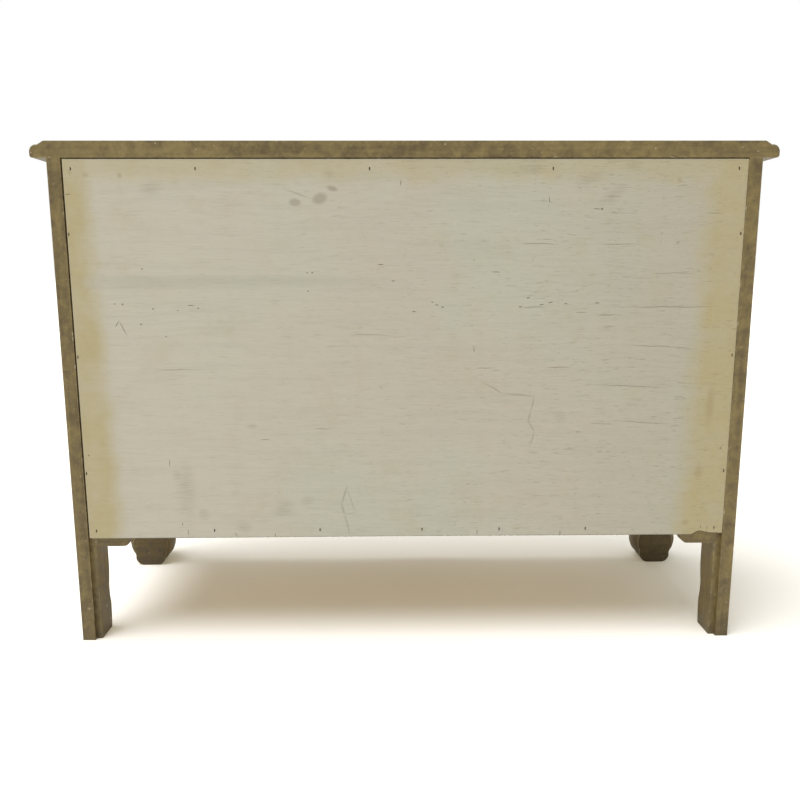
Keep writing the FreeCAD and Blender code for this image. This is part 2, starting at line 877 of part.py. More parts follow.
def make_hinges(side, word):
    """Frame halves, door halves and pins of both hinges on one side."""
    frame_halves, door_halves, pins = [], [], []
    leaf = S.hinge_leaf_thickness
    half = S.hinge_half_height
    pin_depth = half - S.hinge_barrel_radius
    for place_name, middle in hinge_heights.items():
        base = f"hinge_{word}_{place_name}"
        split = middle + S.hinge_end_gap
        pin_low, pin_high = middle - pin_depth, split + pin_depth
        frame_halves.append(hinge_half(
            f"{base}_frame", side, middle - half, middle,
            (front_post_inner, front_post_inner + leaf),
            (S.hinge_pin_radius, pin_low, middle), middle - half - S.finial_rise))
        door_halves.append(hinge_half(
            f"{base}_door", side, split, split + half,
            (door_outer_x - leaf, door_outer_x),
            (S.hinge_pin_radius + S.hinge_pin_clearance, split, pin_high + S.hinge_end_gap),
            split + half + S.finial_rise))
        pins.append(rod(f"{base}_pin", S.hinge_pin_radius, pin_high - pin_low,
                        (hinge_x * side, hinge_y, pin_low), (0, 0, 1)))
    return frame_halves, door_halves, pins


# --------------------------------------------------------------------------
# Doors
# --------------------------------------------------------------------------


def make_door(side, word, leaves, bored_by):
    """Two stiles, two rails and a panel, jointed, with the rails tenoned in."""
    y = (face_y, door_back)
    inner, outer = door_inner_x + S.stile_width, door_outer_x - S.stile_width
    panel = make_door_panel(side, f"door_{word}_panel")
    tongue_y = (door_tongue_front, door_tongue_back)
    tenon_x = span(side, inner - S.door_tenon_length, outer + S.door_tenon_length)
    shoulder = S.tenon_shoulder * 2

    z1 = door_top - S.door_top_rail_height
    rise = S.door_arch_rise
    half = (outer - inner) / 2
    radius = (half * half + rise * rise) / (rise * 2)
    arch = [(inner, door_top), (inner, z1, -radius), (outer, z1), (outer, door_top)]
    top_body = prism(f"door_{word}_top_rail_body", "XZ_Plane", mirrored(arch, side), *y)
    top_tenons = board(f"door_{word}_top_rail_tenons", tenon_x, tongue_y,
                       (z1 + rise + shoulder / 2, door_top - shoulder))
    top_rail = cut(f"door_{word}_top_rail",
                   fuse(f"door_{word}_top_rail_blank", top_body, top_tenons), panel)

    z0 = door_bottom + S.door_bottom_rail_height
    bottom_body = board(f"door_{word}_bottom_rail_body", span(side, inner, outer), y,
                        (door_bottom, z0))
    bottom_tenons = board(f"door_{word}_bottom_rail_tenons", tenon_x, tongue_y,
                          (door_bottom + shoulder, z0 - shoulder))
    bottom_rail = cut(f"door_{word}_bottom_rail",
                      fuse(f"door_{word}_bottom_rail_blank", bottom_body, bottom_tenons),
                      panel)

    stiles = {}
    limits = {"lock": (door_inner_x, inner), "hinge": (outer, door_outer_x)}
    for kind, x in limits.items():
        blank = board(f"door_{word}_{kind}_stile_blank", span(side, *x), y,
                      (door_bottom, door_top))
        tools = [panel, top_rail, bottom_rail]
        tools += leaves if kind == "hinge" else bored_by
        stiles[kind] = cut(f"door_{word}_{kind}_stile", blank, *tools)
    keep(stiles["hinge"], f"door_{word}_hinge_stile")
    keep(stiles["lock"], f"door_{word}_lock_stile")
    keep(top_rail, f"door_{word}_top_rail")
    keep(bottom_rail, f"door_{word}_bottom_rail")
    keep(panel, f"door_{word}_panel")


def make_key_plate(side, word):
    """A pointed oval plate on the lock stile, with its key hole."""
    half_height = S.plate_height / 2
    half_plate = S.plate_width / 2
    radius = (half_height * half_height + half_plate * half_plate) / (half_plate * 2)
    x = lock_x * side
    outline = [(x, S.lock_height - half_height, radius),
               (x, S.lock_height + half_height, radius)]
    plate = prism(f"door_{word}_plate_blank", "XZ_Plane", outline,
                  face_y - S.plate_thickness, face_y)
    hole = rod(f"door_{word}_key_hole", S.key_hole_radius,
               S.plate_thickness + S.door_thickness,
               (x, door_back, S.lock_height), (0, -1, 0))
    keep(cut(f"door_{word}_key_plate", plate, hole), f"door_{word}_key_plate")
    return hole


def make_lock():
    """The box lock on the right door: case, sliding bolt and key."""
    case_x = (door_inner_x + S.lock_wall, door_inner_x + S.lock_wall + S.lock_case_width)
    case_z = (S.lock_height - S.lock_case_height / 2, S.lock_height + S.lock_case_height / 2)
    case_back = door_back + S.lock_case_depth
    wall, play = S.lock_wall, S.slide_clearance
    outside = board("lock_case_outside", case_x, (door_back, case_back), case_z)
    room = board("lock_case_room", (case_x[0] + wall, case_x[1] - wall),
                 (door_back, case_back - wall), (case_z[0] + wall, case_z[1] - wall))
    middle_y = door_back + S.lock_case_depth / 2
    half_bolt = S.lock_bolt_thickness / 2
    bolt_y = (middle_y - half_bolt, middle_y + half_bolt)
    bolt_low = S.lock_height + S.lock_bit + S.lock_bit_clearance
    bolt_z = (bolt_low, bolt_low + S.lock_bolt_height)
    slot = board("lock_case_slot", (case_x[0], case_x[0] + wall),
                 (bolt_y[0] - play, bolt_y[1] + play), (bolt_z[0] - play, bolt_z[1] + play))
    keep(cut("lock_case", outside, room, slot), "lock_case")

    bolt_x = (case_x[0] + play, case_x[0] + play + S.lock_bolt_length)
    keep(board("lock_bolt", bolt_x, bolt_y, bolt_z), "lock_bolt")

    key_back = case_back - wall * 2
    key_front = face_y - S.key_reach + S.key_bow_radius
    shaft = rod("key_shaft", S.key_radius, key_back - key_front,
                (lock_x, key_back, S.lock_height), (0, -1, 0))
    half_bit = S.lock_bit_thickness / 2
    bit = board("key_bit", (lock_x - half_bit, lock_x + half_bit),
                (bolt_y[0], key_back), (S.lock_height - S.lock_bit, S.lock_height))
    bow = doc.addObject("Part::Torus", "key_bow")
    bind(bow, "Radius1", S.key_bow_radius)
    bind(bow, "Radius2", S.key_bow_wire)
    place(bow, lock_x, key_front - S.key_bow_radius, S.lock_height,
          FreeCAD.Rotation(FreeCAD.Vector(0, 1, 0), 90))
    collar = rod("key_collar", S.key_collar_radius, S.key_radius,
                 (lock_x, face_y - S.plate_thickness - S.key_radius * 2, S.lock_height),
                 (0, -1, 0))
    keep(fuse("key_solid", shaft, bit, bow, collar), "key")

    throw = bolt_x[0] - S.lock_throw
    socket = board("lock_keep_socket", (throw - play * 2, -door_inner_x),
                   (bolt_y[0] - play, bolt_y[1] + play), (bolt_z[0] - play, bolt_z[1] + play))
    block = board("lock_keep_block", (throw - play * 2 - wall, -door_inner_x - wall),
                  (door_back, case_back),
                  (bolt_z[0] - wall * 2, bolt_z[1] + wall * 2))
    return cut("lock_keep", block, socket)


def make_door_bolt(lock_keep):
    """The upright bolt inside the left door, in two brackets, and its hole above."""
    x, play = -lock_x, S.door_bolt_clearance
    top = door_top - play * 2
    y = door_back + S.lock_case_depth / 2
    low = top - S.door_bolt_length
    shaft = rod("door_bolt_shaft", S.door_bolt_radius, S.door_bolt_length, (x, y, low),
                (0, 0, 1))
    knob = rod("door_bolt_knob", S.door_bolt_knob_radius, S.lock_case_depth,
               (x, y, low + S.door_bolt_knob_lift), (0, 1, 0))
    keep(fuse("door_bolt_solid", shaft, knob), "door_bolt")
    brackets = [lock_keep]
    guide = rod("door_bolt_guide", S.door_bolt_radius + S.door_bolt_guide_clearance,
                S.door_bolt_length, (x, y, low), (0, 0, 1))
    half = S.bolt_bracket_width / 2
    lower = low + S.bolt_bracket_lift
    for z in (lower, lower + S.bolt_bracket_pitch):
        block = board(f"door_bolt_block{len(brackets)}", (x - half, x + half),
                      (door_back, y + half), (z, z + S.bolt_bracket_height))
        brackets.append(cut(f"door_bolt_bracket{len(brackets)}", block, guide))
    keep(group("door_bolt_brackets", *brackets), "door_bolt_brackets")
    return rod("door_bolt_hole", S.door_bolt_radius + play, S.door_bolt_throw + play,
               (x, y, drawer_floor_underside), (0, 0, 1))


# --------------------------------------------------------------------------
# Drawers
# --------------------------------------------------------------------------


def make_drawer(side, word):
    """A drawer box lapped into its front, with its bottom in grooves."""
    name = f"drawer_{word}"
    thick = S.drawer_side_thickness
    x = (drawer_inner_x, drawer_outer_x)
    inside = (x[0] + thick, x[1] - thick)
    front_back = face_y + S.drawer_front_thickness
    lap_y = front_back - S.drawer_lap
    base_y = face_y + S.drawer_field
    front_z = (S.drawer_floor_height + S.drawer_gap, drawer_top - S.drawer_gap)

    bottom = keep(board(
        f"{name}_bottom_solid", span(side, inside[0] - thick / 2, inside[1] + thick / 2),
        (lap_y, drawer_back), (drawer_bottom_z, drawer_bottom_z + S.drawer_bottom_thickness)),
        f"{name}_bottom")
    walls = {}
    for place_name, limits in (("inner", (x[0], inside[0])), ("outer", (inside[1], x[1]))):
        blank = board(f"{name}_{place_name}_side_blank", span(side, *limits),
                      (lap_y, drawer_back), (drawer_box_bottom, drawer_box_top))
        walls[place_name] = keep(cut(f"{name}_{place_name}_side_solid", blank, bottom),
                                 f"{name}_{place_name}_side")
    keep(board(f"{name}_back_solid", span(side, *inside), (drawer_back - thick, drawer_back),
               (drawer_bottom_z + S.drawer_bottom_thickness, drawer_box_top - thick)),
         f"{name}_back")
    blank = board(f"{name}_front_board", span(side, *x), (base_y, front_back), front_z)
    bevel = S.drawer_bevel
    low, high = span(side, *x)
    field = frustum(
        f"{name}_front_field",
        (low + bevel, high - bevel, front_z[0] + bevel, front_z[1] - bevel),
        (low, high, *front_z), face_y, base_y)
    keep(cut(f"{name}_front_solid", fuse(f"{name}_front_blank", blank, field),
             walls["inner"], walls["outer"], bottom), f"{name}_front")


def make_pull(side, word):
    """Two rosettes with ball-ended posts, and the bail that hangs between them."""
    centre_x = pull_x * side
    half = S.pull_spacing / 2
    hub, neck, ball = S.rosette_radius, S.pull_neck_radius, S.pull_ball_radius
    edge = S.rosette_thickness / 3
    posts = []
    bore = rod(f"pull_{word}_bore", S.bail_radius + S.bail_clearance,
               S.pull_spacing + ball * 4,
               (centre_x - half - ball * 2, pull_y, pull_z), (1, 0, 0))
    for index, sign in enumerate((-1, 1)):
        outline = [
            (0, 0), (hub, 0), (hub, edge), (hub - edge * 2, edge),
            (hub - edge * 4, S.rosette_thickness), (neck, S.rosette_thickness),
            (neck, S.pull_stand), (0, S.pull_stand),
        ]
        x = centre_x + half * sign
        stem = turned(f"pull_{word}_stem{index}", outline, (x, face_y, pull_z), (0, -1, 0))
        knob = doc.addObject("Part::Sphere", f"pull_{word}_ball{index}")
        bind(knob, "Radius", ball)
        place(knob, x, pull_y, pull_z)
        posts.append(cut(f"pull_{word}_post{index}",
                         fuse(f"pull_{word}_post_blank{index}", stem, knob), bore))
    keep(group(f"pull_posts_{word}", *posts), f"drawer_{word}_pull_posts")
    keep(make_bail(word, centre_x), f"drawer_{word}_bail")


def make_bail(word, centre_x):
    """A bent wire handle: stub ends in the posts, square shoulders, round corners."""
    body = doc.addObject("PartDesign::Body", f"bail_{word}")
    outer = S.pull_spacing / 2 + S.pull_ball_radius + S.bail_end_gap + S.bail_shoulder
    stub = S.pull_spacing / 2 - S.bail_seat
    shoulder, corner, drop = S.bail_shoulder, S.bail_corner, S.bail_drop
    half = [
        (stub, 0), (outer - shoulder, 0, -shoulder), (outer, -shoulder),
        (outer, corner - drop, -corner), (outer - corner, -drop),
    ]
    path = list(half[:-1]) + [half[-1][:2]]
    path += [(corner - outer, -drop, -corner), (-outer, corner - drop),
             (-outer, -shoulder, -shoulder), (shoulder - outer, 0), (-stub, 0)]
    spine = sketch_outline(body, f"bail_{word}_path", "XZ_Plane", path, closed=False)
    ring = body.newObject("Sketcher::SketchObject", f"bail_{word}_section")
    ring.AttachmentSupport = [(origin_plane(body, "YZ_Plane"), "")]
    ring.MapMode = "FlatFace"
    bind(ring, "AttachmentOffset.Base.z", stub)
    circle = Part.Circle(FreeCAD.Vector(), FreeCAD.Vector(0, 0, 1), float(S.bail_radius))
    ring.addGeometry(circle, False)
    ring.addConstraint(Sketcher.Constraint("Coincident", 0, 3, -1, 1))
    number = ring.addConstraint(Sketcher.Constraint("Radius", 0, float(S.bail_radius)))
    ring.setExpression(f"Constraints[{number}]", S.bail_radius.text)
    pipe = body.newObject("PartDesign::AdditivePipe", f"bail_{word}_wire")
    pipe.Profile = ring
    pipe.Spine = (spine, [])
    return place(body, centre_x, pull_y, pull_z)


# --------------------------------------------------------------------------
# Runners, cleats and fastenings
# --------------------------------------------------------------------------


def make_drawer_guides():
    """Strips that guide, hold down and stop the drawers."""
    pieces = []
    guide_z = (S.drawer_floor_height, S.drawer_floor_height + S.guide_height)
    for word, side in SIDES.items():
        pieces.append(board(
            f"drawer_guide_{word}", span(side, front_post_inner, rear_post_inner),
            (front_post_back, rear_post_front), guide_z))
        half = S.stop_width / 2
        pieces.append(board(
            f"drawer_stop_{word}", span(side, pull_x - half, pull_x + half),
            (face_y + S.drawer_front_thickness + S.slide_clearance, front_rail_back),
            (S.drawer_floor_height, S.drawer_floor_height + S.stop_height)))
        pieces.append(board(
            f"drawer_kicker_{word}",
            span(side, drawer_outer_x - S.cleat_width, drawer_outer_x),
            (front_rail_back, back_rail_front), (drawer_top, under_top)))
    pieces.append(board(
        "drawer_kicker_centre", (-S.cleat_width, S.cleat_width),
        (front_rail_back, back_rail_front), (drawer_top, under_top)))
    return pieces


def make_support_cleats():
    """Strips that carry the bottom board, the shelf and the drawer floor."""
    pieces = []
    along = (front_post_back, rear_post_front)
    for word, side in SIDES.items():
        high = span(side, side_panel_inner - S.cleat_width, side_panel_inner)
        low = span(side, side_rail_inner - S.cleat_width, side_rail_inner)
        for place_name, limits, top in (
                ("floor", low, floor_underside),
                ("shelf", high, shelf_underside),
                ("drawer", high, drawer_floor_underside)):
            pieces.append(board(f"cleat_{place_name}_{word}", limits, along,
                                (top - S.cleat_height, top)))
    return group("support_cleat_set", *pieces)


def spread(low, high, pitch):
    """Evenly spaced places between two ends, about one pitch apart."""
    count = max(int(round((high - low) / pitch)), 1)
    return [low + (high - low) * index / count for index in range(count + 1)]


# hand-driven and so uneven: places along each rail, as shares of its half-length
TOP_NAIL_PLACES = (-1.0, -0.44, 0.11, 0.63, 1.0)
BOTTOM_NAIL_PLACES = (-1.0, -0.58, -0.3, -0.05, 0.28, 0.62, 1.0)


def make_nails():
    """Flat-headed panel nails along both back rails and both posts."""
    inner, face = float(rear_post_inner - S.nail_end_distance), float(back_panel_face)
    post_x = float(rear_post_inner + rabbet_edge) / 2
    lower = float(S.back_panel_bottom + S.nail_bottom_distance)
    upper = float(under_top - S.nail_top_distance)
    pitch = float(S.side_nail_pitch)
    places = [(share * inner, upper) for share in TOP_NAIL_PLACES]
    places += [(share * inner, lower) for share in BOTTOM_NAIL_PLACES]
    column = spread(lower + pitch / 2, upper - pitch / 2, pitch)
    places += [(x, z) for x in (-post_x, post_x) for z in column]
    width, height = float(S.nail_head_width), float(S.nail_head_height)
    thick, length = float(S.nail_head_thickness), float(S.nail_length)
    nails = []
    for x, z in places:
        head = Part.makeBox(width, thick, height, FreeCAD.Vector(
            x - width / 2, face - thick, z - height / 2))
        shank = Part.makeCylinder(float(S.nail_shank_radius), length,
                                  FreeCAD.Vector(x, face, z), FreeCAD.Vector(0, -1, 0))
        nails.append(head.fuse(shank).removeSplitter())
    return shape_feature("back_panel_nail_set", Part.makeCompound(nails))


def make_top_screws():
    """Countersunk screws driven up through the kickers into the top."""
    screws = []
    head_depth, length = float(S.screw_head_depth), float(S.screw_length)
    inset = float(S.screw_end_distance)
    side_x = float(drawer_outer_x) - float(S.cleat_width) / 2
    up = FreeCAD.Vector(0, 0, 1)
    for x in (-side_x, 0.0, side_x):
        for y in (float(front_rail_back) + inset, float(back_rail_front) - inset):
            base = FreeCAD.Vector(x, y, float(drawer_top))
            head = Part.makeCone(
                float(S.screw_head_radius), float(S.screw_radius), head_depth, base, up)
            shank = Part.makeCylinder(float(S.screw_radius), length, base, up)
            screws.append(head.fuse(shank).removeSplitter())
    return shape_feature("top_screw_set", Part.makeCompound(screws))


# --------------------------------------------------------------------------
# Assembly
# --------------------------------------------------------------------------

nails = make_nails()
screws = make_top_screws()
keep(nails, "back_panel_nails")
keep(screws, "top_screws")

kickers = []
for piece in make_drawer_guides():
    if "kicker" in piece.Name:
        piece = cut(f"{piece.Name}_drilled", piece, screws)
    kickers.append(piece)
keep(group("drawer_guide_set", *kickers), "drawer_guides")
keep(make_support_cleats(), "support_cleats")
keep(cut("top_board_solid", make_top_board(), screws), "top_board")

hinges = {word: make_hinges(side, word) for word, side in SIDES.items()}
frame_leaves = [half for word in SIDES for half in hinges[word][0]]
keep(group("hinge_frame_halves", *frame_leaves), "hinge_frame_halves")
keep(group("hinge_pins", *(pin for word in SIDES for pin in hinges[word][2])), "hinge_pins")
for word in SIDES:
    keep(group(f"hinge_door_halves_{word}", *hinges[word][1]), f"hinge_door_halves_{word}")

bolt_keep = make_lock()
bolt_hole = make_door_bolt(bolt_keep)
for word, side in SIDES.items():
    key_hole = make_key_plate(side, word)
    make_door(side, word, hinges[word][1], [key_hole])
    make_drawer(side, word)
    make_pull(side, word)

top_rail = keep(cross_rail(
    "front_top_rail", front_post_inner, (face_y, front_rail_back),
    (drawer_top, under_top), S.tenon_shoulder), "front_top_rail")
middle_rail_blank = cross_rail(
    "front_middle_rail_blank", front_post_inner, (face_y, front_rail_back),
    (drawer_floor_underside, S.drawer_floor_height), S.tenon_shoulder)
middle_rail = keep(cut("front_middle_rail", middle_rail_blank, bolt_hole),
                   "front_middle_rail")
apron = keep(make_front_apron(), "front_apron")
back_top_rail_blank = cross_rail(
    "back_top_rail_blank", rear_post_inner, (back_rail_front, rabbet_floor),
    (under_top - S.back_rail_height, under_top), S.tenon_shoulder)
back_top_rail = keep(cut("back_top_rail_solid", back_top_rail_blank, nails), "back_top_rail")
back_bottom_rail = keep(cut("back_bottom_rail_solid", make_back_bottom_rail(), nails),
                        "back_bottom_rail")
keep(cut("back_panel_solid", make_back_panel(), nails), "back_panel")

for word, side in SIDES.items():
    side_panel = keep(make_side_panel(side, f"side_panel_{word}"), f"side_panel_{word}")
    side_rails = []
    for height, make_rail in (("top", make_side_top_rail), ("bottom", make_side_bottom_rail)):
        blank = make_rail(side, f"side_{height}_rail_{word}")
        side_rails.append(keep(cut(f"side_{height}_rail_{word}_solid", blank, side_panel),
                               f"side_{height}_rail_{word}"))
    shared = [side_panel] + side_rails
    keep(cut(f"front_leg_{word}_solid", make_front_leg(side, f"front_leg_{word}"),
             *shared, top_rail, middle_rail, apron, *hinges[word][0]),
         f"front_leg_{word}")
    keep(cut(f"rear_post_{word}_solid", make_rear_post(side, f"rear_post_{word}"),
             *shared, back_top_rail, back_bottom_rail, nails), f"rear_post_{word}")

keep(notched_board("bottom_board_solid", side_rail_inner, apron_back, back_rail_front,
                   (floor_underside, S.floor_height)), "bottom_board")
keep(notched_board("drawer_floor_solid", side_panel_inner, front_rail_back, rabbet_floor,
                   (drawer_floor_underside, S.drawer_floor_height)), "drawer_floor")
keep(notched_board(
    "shelf_solid", side_panel_inner - S.shelf_clearance, front_post_back + S.shelf_clearance,
    rabbet_floor - S.shelf_clearance, (shelf_underside, S.shelf_height), S.shelf_clearance),
    "shelf")
keep(board("drawer_divider_solid", (-S.divider_thickness / 2, S.divider_thickness / 2),
           (face_y, back_rail_front), (S.drawer_floor_height, drawer_top)), "drawer_divider")

# --------------------------------------------------------------------------
# Checks and export
# --------------------------------------------------------------------------

doc.recompute()
failed = [obj.Name for obj in doc.Objects if {"Invalid", "Error"} & set(obj.State)]
if failed:
    raise RuntimeError(f"failed objects: {failed}")
for obj in parts:
    if obj.Shape.isNull() or not obj.Shape.isValid() or not obj.Shape.Solids:
        raise RuntimeError(f"bad shape: {obj.Label}")

os.makedirs("parts", exist_ok=True)
for obj in parts:
    obj.Shape.exportStep(os.path.join("parts", f"{obj.Label}.step"))
print(f"{len(parts)} pieces written")
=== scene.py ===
"""Looks of the chiffonier: paint, plywood, metal, carving, floor, lights and camera.

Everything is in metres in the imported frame: X along the width, -Y to the front, Z up.
"""

import json
import math

import bmesh
import bpy
from mathutils import Matrix, Vector, noise


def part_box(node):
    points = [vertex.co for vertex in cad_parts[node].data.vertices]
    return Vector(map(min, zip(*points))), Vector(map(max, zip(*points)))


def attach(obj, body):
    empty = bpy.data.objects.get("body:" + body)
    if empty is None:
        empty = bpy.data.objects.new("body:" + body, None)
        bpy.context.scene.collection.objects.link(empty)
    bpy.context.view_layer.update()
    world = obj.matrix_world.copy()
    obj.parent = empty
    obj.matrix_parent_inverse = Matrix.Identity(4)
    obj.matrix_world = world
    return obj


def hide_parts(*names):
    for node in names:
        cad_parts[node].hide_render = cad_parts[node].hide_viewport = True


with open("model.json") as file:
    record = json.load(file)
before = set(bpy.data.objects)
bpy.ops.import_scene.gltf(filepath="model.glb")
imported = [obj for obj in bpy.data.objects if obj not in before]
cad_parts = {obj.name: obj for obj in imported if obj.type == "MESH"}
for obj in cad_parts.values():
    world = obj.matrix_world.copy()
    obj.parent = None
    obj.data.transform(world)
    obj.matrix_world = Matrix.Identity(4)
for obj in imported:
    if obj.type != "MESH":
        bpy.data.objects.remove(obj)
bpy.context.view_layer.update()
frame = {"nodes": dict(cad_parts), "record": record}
nodes = frame["nodes"]
MM = 0.001


# ---------------------------------------------------------------- colours and node trees

def srgb(red, green, blue):
    """A screen colour, 0 to 255, as the linear colour that shaders take."""
    def linear(level):
        share = level / 255
        return share / 12.92 if share <= 0.04045 else ((share + 0.055) / 1.055) ** 2.4
    return (linear(red), linear(green), linear(blue), 1.0)


class Shade:
    """One material's node tree. Each method adds a node and returns the socket that it gives."""

    def __init__(self, name):
        self.material = bpy.data.materials.new(name)
        self.material.use_nodes = True
        self.tree = self.material.node_tree
        self.tree.nodes.clear()
        self.place = self.node("TexCoord").outputs["Object"]
        self.x, _, self.z = self.node("SeparateXYZ", {0: self.place}).outputs

    def feed(self, taker, value):
        """Links the taker to a socket, or sets it to a number or colour."""
        if isinstance(value, bpy.types.NodeSocket):
            self.tree.links.new(value, taker)
        else:
            taker.default_value = value

    def node(self, kind, inputs=None, **settings):
        made = self.tree.nodes.new("ShaderNode" + kind)
        for key, value in settings.items():
            setattr(made, key, value)
        for key, value in (inputs or {}).items():
            self.feed(made.inputs[key], value)
        return made

    def math(self, operation, a, b=0.0):
        return self.node("Math", {0: a, 1: b}, operation=operation).outputs[0]

    def vector(self, operation, a, b):
        return self.node("VectorMath", {0: a, 1: b}, operation=operation).outputs[0]

    def length(self, a):
        return self.node("VectorMath", {0: a}, operation="LENGTH").outputs["Value"]

    def scaled(self, factors, start=None):
        return self.vector("MULTIPLY", start or self.place, factors)

    def noise(self, scale, detail=3.0, roughness=0.55, start=None, distortion=0.0):
        """Cloudy noise from about 0.25 to 0.75; scale is in patches a metre."""
        inputs = {"Vector": start or self.place, "Scale": scale, "Detail": detail,
                  "Roughness": roughness, "Distortion": distortion}
        return self.node("TexNoise", inputs).outputs[0]

    def cells(self, scale):
        """Distance to the nearest of scattered points, in cell widths."""
        return self.node("TexVoronoi", {"Vector": self.place, "Scale": scale}).outputs["Distance"]

    def between(self, value, low, high, first=0.0, last=1.0):
        """Goes smoothly from first to last while value goes from low to high."""
        inputs = {"Value": value, "From Min": low, "From Max": high,
                  "To Min": first, "To Max": last}
        return self.node("MapRange", inputs, interpolation_type="SMOOTHSTEP").outputs[0]

    def ramp(self, value, stops):
        made = self.node("ValToRGB", {0: value})
        elements = made.color_ramp.elements
        while len(elements) < len(stops):
            elements.new(0.5)
        for element, (position, colour) in zip(elements, stops):
            element.position = position
            element.color = colour
        return made.outputs[0]

    def mix(self, share, a, b, blend="MIX"):
        made = self.node("Mix", data_type="RGBA", blend_type=blend, clamp_factor=True)
        for index, value in ((0, share), (6, a), (7, b)):  # a Mix node's sockets for colours
            self.feed(made.inputs[index], value)
        return made.outputs[2]

    def bump(self, height, distance, strength):
        inputs = {"Height": height, "Distance": distance, "Strength": strength}
        return self.node("Bump", inputs).outputs[0]

    def edges(self, radius):
        """1 on an outer edge or corner of the piece, 0 away from it."""
        rounded = self.node("Bevel", {"Radius": radius}, samples=4).outputs[0]
        true = self.node("NewGeometry").outputs["Normal"]
        product = self.node("VectorMath", {0: rounded, 1: true}, operation="DOT_PRODUCT")
        return self.between(product.outputs["Value"], 0.999, 0.86)

    def finish(self, colour, **inputs):
        surface = self.node("BsdfPrincipled", {"Base Color": colour})
        for key, value in inputs.items():
            self.feed(surface.inputs[key], value)
        self.node("OutputMaterial", {"Surface": surface.outputs[0]})
        return self.material


# ---------------------------------------------------------------- paint

PAINT_SHADE = srgb(84, 69, 34)
PAINT_MIDDLE = srgb(108, 92, 51)
PAINT_GOLD = srgb(126, 109, 63)
PAINT_PALE = srgb(148, 132, 89)
BARE_CHIP = srgb(196, 186, 158)
# grime near the floor, and painted shade in the hollows of the carving
GRIME_AND_SHADE = srgb(58, 46, 26)
RUBBED_WIDTH = 0.0035  # how far from an edge the paint is rubbed
SCUFF_TOP = 0.17  # heights above the floor up to which the paint is scuffed and dirty
DIRT_TOP = 0.05
PAINT_RELIEF = 0.0007


def painted(name, grain, tint=None, carved=False):
    """Sponged olive-gold paint, rubbed at the edges, with brush marks along the grain.

    On carving it has painted shade with grime in the hollows and is rubbed on the ridges."""
    s = Shade(name)
    broad = s.noise(9.0, 2.0)
    sponge = s.noise(62.0, 5.0, 0.62, distortion=0.4)
    dabs = s.noise(150.0, 3.0, 0.6, start=s.vector("ADD", s.place, (3.1, 1.7, 0.4)))
    streak = s.noise(1.0, 4.0, 0.6, start=s.scaled(grain))
    tone = s.math("ADD", s.math("MULTIPLY", sponge, 0.5), s.math("MULTIPLY", broad, 0.22))
    tone = s.math("ADD", tone, s.math("MULTIPLY", streak, 0.28))
    colour = s.ramp(tone, ((0.4, PAINT_SHADE), (0.5, PAINT_MIDDLE), (0.6, PAINT_GOLD)))
    colour = s.mix(s.between(dabs, 0.6, 0.75, 0.0, 0.5), colour, PAINT_PALE)
    colour = s.mix(s.between(dabs, 0.42, 0.28, 0.0, 0.45), colour, PAINT_SHADE)

    flecks = s.cells(95.0)
    chosen = s.noise(24.0, 2.0)
    fleck = s.math("MULTIPLY", s.between(flecks, 0.16, 0.08), s.between(chosen, 0.57, 0.66))
    colour = s.mix(s.math("MULTIPLY", fleck, 0.55), colour, BARE_CHIP)

    edge = s.edges(RUBBED_WIDTH)
    worn = s.noise(70.0, 4.0, 0.7)
    rub = s.math("MULTIPLY", edge, s.between(worn, 0.4, 0.62))
    chip = s.math("MULTIPLY", edge, s.between(worn, 0.62, 0.66))
    colour = s.mix(s.math("MULTIPLY", rub, 0.55), colour, PAINT_PALE)
    colour = s.mix(s.math("MULTIPLY", chip, 0.85), colour, BARE_CHIP)

    low = s.between(s.z, SCUFF_TOP, 0.0)
    scuffs = s.between(s.noise(90.0, 4.0, 0.65), 0.64, 0.7)
    colour = s.mix(s.math("MULTIPLY", s.math("MULTIPLY", low, scuffs), 0.6), colour, BARE_CHIP)
    dirt = s.math("MULTIPLY", s.between(s.z, DIRT_TOP, 0.0), s.between(broad, 0.3, 0.6))
    colour = s.mix(s.math("MULTIPLY", dirt, 0.5), colour, GRIME_AND_SHADE)
    # painted shade, with grime, in the hollows that Pointiness finds; the ridges are rubbed pale
    if carved:
        bend = s.node("NewGeometry").outputs["Pointiness"]
        colour = s.mix(s.between(bend, 0.5, 0.44, 0.0, 0.6), colour, GRIME_AND_SHADE)
        colour = s.mix(s.between(bend, 0.52, 0.58, 0.0, 0.45), colour, PAINT_PALE)
    # the tint carries painted shade on the rear faces of the front feet
    if tint:
        colour = s.mix(1.0, colour, tint, "MULTIPLY")

    rough = s.between(sponge, 0.3, 0.7, 0.42, 0.62)
    height = s.math("ADD", s.math("MULTIPLY", sponge, 0.5), s.math("MULTIPLY", streak, 0.35))
    height = s.math("SUBTRACT", height, s.math("MULTIPLY", chip, 0.5))
    return s.finish(colour, Roughness=rough, Normal=s.bump(height, PAINT_RELIEF, 0.55))


# ---------------------------------------------------------------- plywood back

PLY_ROSE = srgb(183, 176, 158)
PLY_GREEN = srgb(180, 178, 160)
# painted light: lighter towards +X, and a painted highlight along the panel's edges
PLY_PAINTED_LIGHT = srgb(191, 185, 167)
# painted shade towards -X
PLY_PAINTED_SHADE = srgb(172, 166, 146)
PLY_OLIVE = srgb(171, 157, 113)
PLY_BROWN = srgb(150, 132, 92)
PLY_SMOKE = srgb(150, 147, 132)
PLY_CRACK = srgb(118, 108, 84)
# dark of the specks and ticks, and of the painted shadow line along the lower edge
PLY_MARK_AND_SHADOW_DARK = srgb(74, 64, 46)

